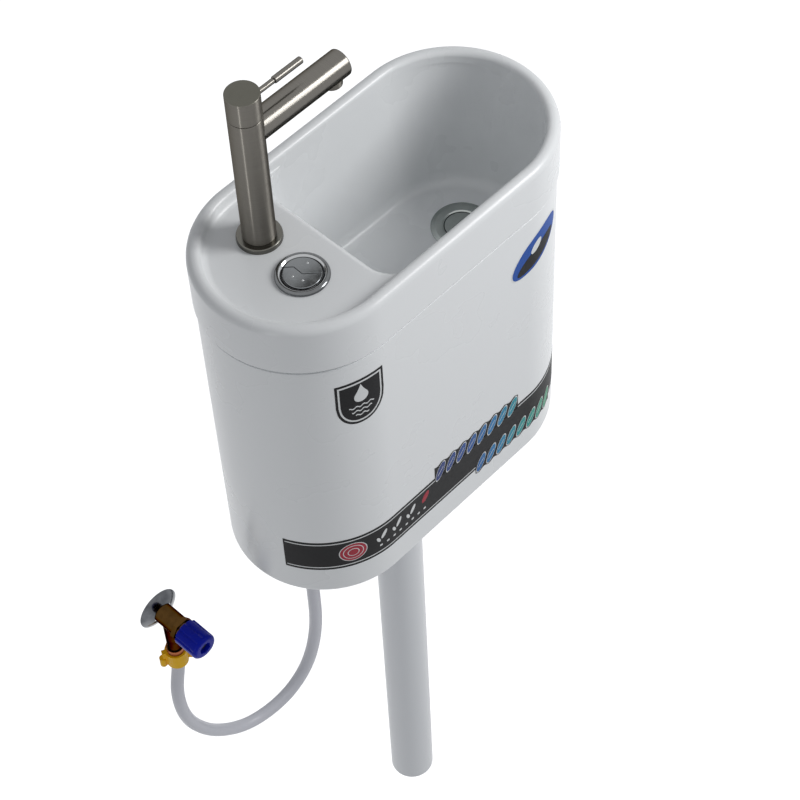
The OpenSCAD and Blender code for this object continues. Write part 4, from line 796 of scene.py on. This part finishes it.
def button_ring():
    """Ring whose outer side is a quarter ellipse, with a bevel inside down to the bore: the bevel's bright
    chrome is a painted highlight and the bore's black rubber is painted shade.
    """
    t = np.radians(np.linspace(0, 90, 13))
    dome = np.vstack([[(12.5, 77), (23, 77), (23, 113.05), (28.6, 113.05)],
                      np.column_stack([25.4 + 3.6 * np.cos(t), 114.0 + 3.35 * np.sin(t)]), [(24.5, 117.35)]])
    bevel = [(24.1, 117.2), (22.5, 115.7), (22.3, 115.45)]
    bore = [(22.1, 115.2), (21.3, 114.9), (21.1, 114.6), (21.1, 80), (12.5, 80)]
    rows = len(dome)
    # painted highlight: the bevel in bright chrome; painted shade: the bore in black rubber
    turned("button_ring_turned", np.vstack([dome, bevel, bore]), (*BUTTON, 0), "housing",
           node="button_housing", slot="button_chrome",
           bands=[(rows - 1, rows + 2, "chrome"), (rows + 2, rows + 7, "rubber")])


def button_springs():
    """Return springs round the push rods.

    At the turning angle a the wire's middle lies 4.6 mm out and rises evenly with a over 7 turns. Its
    section is a circle square to that slope.
    """
    low, high, r, wire, turns, from_middle = 80.15, 113.85, 4.6, 0.5, 7, 9.2
    a = np.linspace(0, 2 * np.pi * turns, 24 * turns + 1)[:, None]
    b = full_turn(12)[None]
    rise = high - low - 2 * wire
    slope = math.atan(rise / (turns * 2 * math.pi * r))
    out, up = r + wire * np.cos(b), wire * np.sin(b)
    coil = np.stack([out * np.cos(a) + up * math.sin(slope) * np.sin(a),
                     out * np.sin(a) - up * math.sin(slope) * np.cos(a),
                     low + wire + rise * a / a[-1] + up * math.cos(slope)], -1)
    for half, side in (("full", -1), ("half", 1)):
        x = BUTTON[0] - side * from_middle * math.sin(BUTTON_TURN)
        y = BUTTON[1] + side * from_middle * math.cos(BUTTON_TURN)
        spring = piece(f"{half}_spring_coil", [(coil + [x, y, 0], False, "face", "face")], "wire",
                       "spring_steel", node=f"{half}_flush_spring")
        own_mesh(spring)


button_dots()
button_ring()
button_springs()
for half in ("full", "half"):
    eased(f"{half}_flush_button", 0.85, f"{half}_button", lambda p: p.z > 113.5)


# Drain: a flange with a soft dome, on a tail that goes down through the bowl's floor
FLANGE = rounded([(20, -108, 0), (20, -52.3, 0.6), (22, -51.5, 1.5), (30, -51.55, 4), (35, -53.2, 0.5),
                  (35, -54, 0), (22, -54, 0), (22, -108, 0)])
turned("drain_flange_dish", FLANGE, (DRAIN_X, MID_Y, 0), "drain", node="drain_flange", slot="drain_steel")
eased("drain_flap", 0.5, "basin_plug", lambda p: p.z > -56)


# Flush pipe and stop valve
def flush_pipe():
    """Plain tube, its ends slightly rounded."""
    wall = rounded([(27.5, -372, 0.6), (30, -372, 1.0), (30, -1133, 1.0), (27.5, -1133, 0.6)])
    turned("flush_pipe_tube", wall, (0, MID_Y, 0), "pipe", node="flush_pipe", slot="pipe_white")


def wall_rosette():
    """Pressed dish: height over the wall 1 + 8 (1 - s)^0.85, where s runs from its neck to its rim."""
    s = np.linspace(0, 1, 15)
    outer = np.column_stack([13.4 + 15.1 * s, 1 + 8 * (1 - s) ** 0.85])
    inner = np.column_stack([13.4 + 13.9 * s, 8.0 * (1 - s) ** 0.85])[::-1]
    rim = np.array([(28.5, 0.3), (28.2, 0.0)])
    turned("wall_rosette_dish", np.vstack([outer, rim, inner]), (STOP_X, 0, STOP_Z), "rosette", "-y",
           node="wall_rosette", slot="chrome_thin")


def stop_knob():
    """Fluted knob: the radius dips by up to 1.5 mm at nine flutes that fade out before the front edge.

    A flute's depth follows (1.6 cos 9t - 0.6)^1.2 where that is above 0. The front edge is rounded with
    5 mm, and the face sinks in a hexagon, where the radius at angle t is 7.4 / cos(t folded into one
    side).
    """
    sides, flutes, dip, flat_r = 216, 9, 1.5, 7.4
    outer_r, edge_r, screw_r, stem_r, hollow_r = 17.5, 5, 2.0, 4.05, 13.5
    start, front = 49.0, 84.0
    recess, web, hollow = front - 7, front - 12, start + 12
    t = full_turn(sides)
    flute = np.clip(np.cos(flutes * t) * 1.6 - 0.6, 0, 1) ** 1.2
    side = np.pi / 3
    hexagon = flat_r / np.cos((t + side / 2) % side - side / 2)
    body = np.vstack([[(outer_r - 0.3, start), (outer_r, start + 0.6), (outer_r, start + 5),
                       (outer_r, start + 14), (outer_r, start + 22)],
                      arc(outer_r - edge_r, front - edge_r, edge_r, 0, 90, 7)])
    fade = np.clip((front - 2.5 - body[:, 1]) / 9, 0, 1)[:, None]
    radii = body[:, :1] - dip * flute * fade
    face = np.vstack([hexagon + 0.6, hexagon, hexagon * 0.96, hexagon * 0.5])
    back = np.array([(stem_r, web), (stem_r, hollow), (hollow_r, hollow), (hollow_r, start)])
    r = np.vstack([radii, face, np.full((2, sides), screw_r), np.repeat(back[:, :1], sides, 1)])
    h = np.concatenate([body[:, 1], [front, front - 0.5, recess, recess, recess, web], back[:, 1]])
    grid = np.stack([r * np.cos(t), -np.repeat(h[:, None], sides, 1), r * np.sin(t)], -1)
    piece("stop_knob_fluted", [(grid + [STOP_X, 0, STOP_Z], True, None, None)], "knob", "knob_blue",
          "stop_handle", "stop_knob")


def valve_mouth():
    """Dark ring round the hose in the wing nut's mouth, black rubber as painted shade, and a thin copper
    sleeve above the nut.
    """
    ring = rounded([(8.5, -579.05, 0), (11, -579.05, 0), (11, -580.9, 0.6), (8.5, -580.9, 0.3)])
    # painted shade: a black rubber ring where the nut shades the top of the hose
    turned("hose_mouth_shade_ring", ring, (STOP_X, OUTLET_Y, 0), "rubber", slot="rubber_grey")
    sleeve = rounded([(9.6, -553.7, 0), (11.5, -553.7, 0.3), (11.5, -545.1, 0.3), (11.03, -545.1, 0),
                      (11.03, -551.7, 0), (9.6, -551.7, 0)])
    turned("copper_collar", sleeve, (STOP_X, OUTLET_Y, 0), "copper", slot="brass_cast")


flush_pipe()
wall_rosette()
stop_knob()
valve_mouth()
for node, width, slot in (("flush_nut", 1.0, "nut_plastic"), ("inlet_nut", 0.8, "nut_plastic"),
                          ("hose_nut", 0.8, "chrome_thin"), ("wing_nut", 0.8, "yellow_plastic"),
                          ("stop_valve_body", 0.4, "brass_cast"), ("wall_bolts", 0.5, "zinc"),
                          ("wall_pads", 0.5, "rubber_grey")):
    eased(node, width)


# Printed labels on the tank: closed slips of vinyl 0.08 mm thick, bent round its front
LAYER = 0.09


def on_tank(s, z, off):
    """Points off the tank's face: s runs along its outline from the middle of the front, z up."""
    r = END_R - TANK_IN
    turn = np.clip(np.abs(s) - ARC_X, 0, None) / r
    x = np.sign(s) * (np.minimum(np.abs(s), ARC_X) + (r + off) * np.sin(turn))
    return np.stack([x, MID_Y - (r + off) * np.cos(turn), z], -1)


def slip(s, top, bottom, layer, rows):
    """A label between two edge curves over s, standing layer times 0.09 mm off the tank."""
    s, top, bottom = np.broadcast_arrays(s, top, bottom)
    f = np.linspace(0, 1, rows + 1)
    z = bottom[:, None] + (top - bottom)[:, None] * f
    along = s[:, None] + 0 * z
    far, near = LAYER * layer + 0.03, LAYER * layer - 0.05
    grid = np.concatenate([on_tank(along, z, far), on_tank(along, z, near)[:, ::-1]], 1)
    return grid, False, "face", "face"


def oval(s0, z0, rs, rz, layer, lean=0.0):
    """An oval label of half width rs and half height rz; lean raises its middle line along s."""
    a = np.linspace(-np.pi / 2, np.pi / 2, 36) * 0.995
    half = rz * np.cos(a)
    mid = z0 + lean * rs * np.sin(a)
    return slip(s0 + rs * np.sin(a), mid + half, mid - half, layer, 6)


def printed(name, material, *shapes):
    """One label piece of some shapes that lie in one layer and don't touch each other."""
    piece(name, list(shapes), material, slot="ceramic")


def badge():
    """Badge with a flat top and a round foot, on it a drop over three short waves."""
    w, s0, top, mid = 29.0, -145.0, 25.0, -11.5
    u = np.linspace(-1, 1, 49)
    low = -12 - 36 * np.sqrt(np.clip(1 - np.abs(u) ** 2.2, 0, 1))
    for name, k, layer, key in (("badge_ground", 1.0, 1, "ink_black"), ("badge_line", 0.90, 2, "ink_white"),
                                ("badge_field", 0.83, 3, "ink_black")):
        printed(name, key, slip(s0 + w * k * u, mid + (top - mid) * k, mid + (low - mid) * k, layer, 10))
    a = np.linspace(-1, 1, 33)
    top = -3 + 20 * (0.42 * np.sqrt(1 - a ** 2) + 0.58 * (1 - np.abs(a)) ** 2.2) + 0.02
    shapes = [slip(s0 + 8.5 * a, top, -3 - 9 * np.sqrt(1 - a ** 2), 4, 6)]
    for k, reach in enumerate((15, 12, 8)):
        u = np.linspace(-reach, reach, 41)
        wave = -19 - 7.0 * k + 1.2 * np.sin(u * 0.75)
        shapes.append(slip(s0 + u, wave + 0.9, wave - 0.9, 4, 1))
    printed("badge_marks", "ink_white", *shapes)


def band():
    """Long band with a thin line along each edge, a ringed mark, leaning leaves and short dashes."""
    top, bottom, reach = -255.0, -310.0, 249
    s = np.concatenate([np.linspace(-reach, -ARC_X, 60), np.linspace(-113, 113, 40),
                        np.linspace(ARC_X, reach, 60)])
    line = s[1:-1]
    printed("band_ground", "ink_black", slip(s, top, bottom, 1, 8))
    printed("band_lines", "ink_white", slip(line, top - 4, top - 5.6, 2, 1),
            slip(line, bottom + 5.6, bottom + 4, 2, 1))
    rings = ((17.0, "ink_white"), (15.9, "ink_red"), (12.4, "ink_white"), (11.4, "ink_red"),
             (7.0, "ink_white"), (6.0, "ink_red"))
    for k, (r, key) in enumerate(rings):
        printed(f"ring_mark_{k}", key, oval(-169, -282.5, r, r, 2 + k))
    shapes = []
    for s0 in (-132.0, -109.0, -86.0):
        shapes += [oval(s0 + 3, -275.5, 4.4, 4.6, 2, 1.1), oval(s0 - 5, -281.5, 2.6, 3.8, 2, -0.9)]
    for s0 in np.arange(-134.0, -60.0, 10.0):
        shapes.append(slip(s0 + np.linspace(-1.8, 1.8, 5), -292.5, -295.5, 2, 1))
    printed("band_leaves", "ink_white", *shapes)
    printed("red_leaf", "ink_red", oval(-62, -273.5, 6.0, 6.5, 2, 0.8))


def reeds():
    """Two rows of leaning leaves in the fading ink, each with a pale edge and vein, on a dark ground.

    The upper row stands on the band's left part and the lower row hangs under its right part. The
    ground of a row has a scalloped edge, a raised cosine of one period for each leaf.
    """
    count, pitch, lean = 8, 17.5, 1.1
    leaves = []
    for name, first, z, way in (("upper", -36.0, -250.0, 1), ("lower", 32.0, -304.0, -1)):
        places = first + pitch * np.arange(count)
        leaves += [(s, z) for s in places]
        s = np.linspace(places[0] - 9.5, places[-1] + 9.5, 20 * count + 1)
        edge = z + way * (14.6 + 1.8 * np.cos(2 * np.pi * (s - places[0] - way * 4.0) / pitch))
        inside = np.full(s.size, z - way * 12.0)
        printed(f"reeds_ground_{name}", "ink_black",
                slip(s, np.maximum(edge, inside), np.minimum(edge, inside), 2, 6))
    printed("reeds_rim", "ink_white", *[oval(s, z, 8.5, 11.4, 3, lean) for s, z in leaves])
    printed("reeds_field", "ink_fade", *[oval(s, z, 7.6, 10.4, 4, lean) for s, z in leaves])
    u = np.linspace(-5.0, 4.6, 9)
    printed("reeds_veins", "ink_white", *[slip(s + u, z + lean * u + 0.6, z + lean * u - 0.6, 5, 1)
                                          for s, z in leaves])


def small_oval():
    """Slanting oval with a pale edge, a dark foot and a drop."""
    printed("oval_edge", "ink_white", oval(126, -2, 43, 26, 1, 0.35))
    printed("oval_field", "ink_blue", oval(126, -2, 41, 24.5, 2, 0.35))
    printed("oval_night", "ink_black", oval(126, -10, 33, 12, 3, 0.35))
    printed("oval_drop", "ink_white", oval(124, 4, 9, 7, 4, 0.5))


badge()
band()
reeds()
small_oval()


# Light and floor
def lamp(name, place, target, size, power):
    """A white rectangular lamp of size (width, height) metres at place, facing target."""
    data = bpy.data.lights.new(name, "AREA")
    data.shape = "RECTANGLE"
    data.size, data.size_y = size
    data.energy = power
    ob = bpy.data.objects.new(name, data)
    bpy.context.collection.objects.link(ob)
    ob.location = place
    ob.rotation_euler = (Vector(target) - Vector(place)).to_track_quat("-Z", "Y").to_euler()


def seen_white(tree):
    """1 for camera, glossy and transmission rays, which see the white ground; 0 for the others."""
    path = add(tree, "ShaderNodeLightPath")
    two = add(tree, "ShaderNodeMath", {0: path.outputs["Is Camera Ray"], 1: path.outputs["Is Glossy Ray"]},
              operation="MAXIMUM")
    return add(tree, "ShaderNodeMath", {0: two.outputs[0], 1: path.outputs["Is Transmission Ray"]},
               operation="MAXIMUM").outputs[0]


def studio_sky():
    """White ground that camera and reflections see, and a dimmer sky for the light."""
    world = bpy.data.worlds.new("studio_sky")
    bpy.context.scene.world = world
    world.use_nodes = True
    tree = world.node_tree
    tree.nodes.clear()
    sky = add(tree, "ShaderNodeBackground", {"Color": lin("E6E8EC"), "Strength": 0.375})
    white = add(tree, "ShaderNodeBackground", {"Color": (1, 1, 1, 1), "Strength": 1.0})
    mix = add(tree, "ShaderNodeMixShader", {0: seen_white(tree), 1: sky.outputs[0], 2: white.outputs[0]})
    add(tree, "ShaderNodeOutputWorld", {"Surface": mix.outputs[0]})


def pale_floor():
    """Plain square floor below the flush pipe's end, which glows only for what sees the white ground."""
    side, z = 14.0, -1.6
    mesh = bpy.data.meshes.new("floor")
    mesh.from_pydata([(-side, -side, z), (side, -side, z), (side, side, z), (-side, side, z)], [],
                     [(0, 1, 2, 3)])
    floor = bpy.data.objects.new("floor", mesh)
    bpy.context.collection.objects.link(floor)
    mat, tree, shader = new_material("pale_floor", Base_Color=lin("F4F5F6"), Roughness=0.9,
                                     Emission_Color=(1, 1, 1, 1), Specular_IOR_Level=0.0)
    glow = add(tree, "ShaderNodeMath", {0: seen_white(tree), 1: 0.75}, operation="MULTIPLY")
    tree.links.new(glow.outputs[0], shader.inputs["Emission Strength"])
    mesh.materials.append(mat)


studio_sky()
# a soft key lamp, and a tall narrow one whose reflection is the left streak on the column
lamp("key_right", (0.98, -1.25, 1.1), (0, -0.1, 0.0), (0.6, 0.9), 21.0)
lamp("strip_left", (-1.53, -0.61, -0.2), (-0.127, -0.071, -0.1), (0.05, 1.2), 2.6)
pale_floor()
bpy.context.scene.view_settings.view_transform = "Standard"
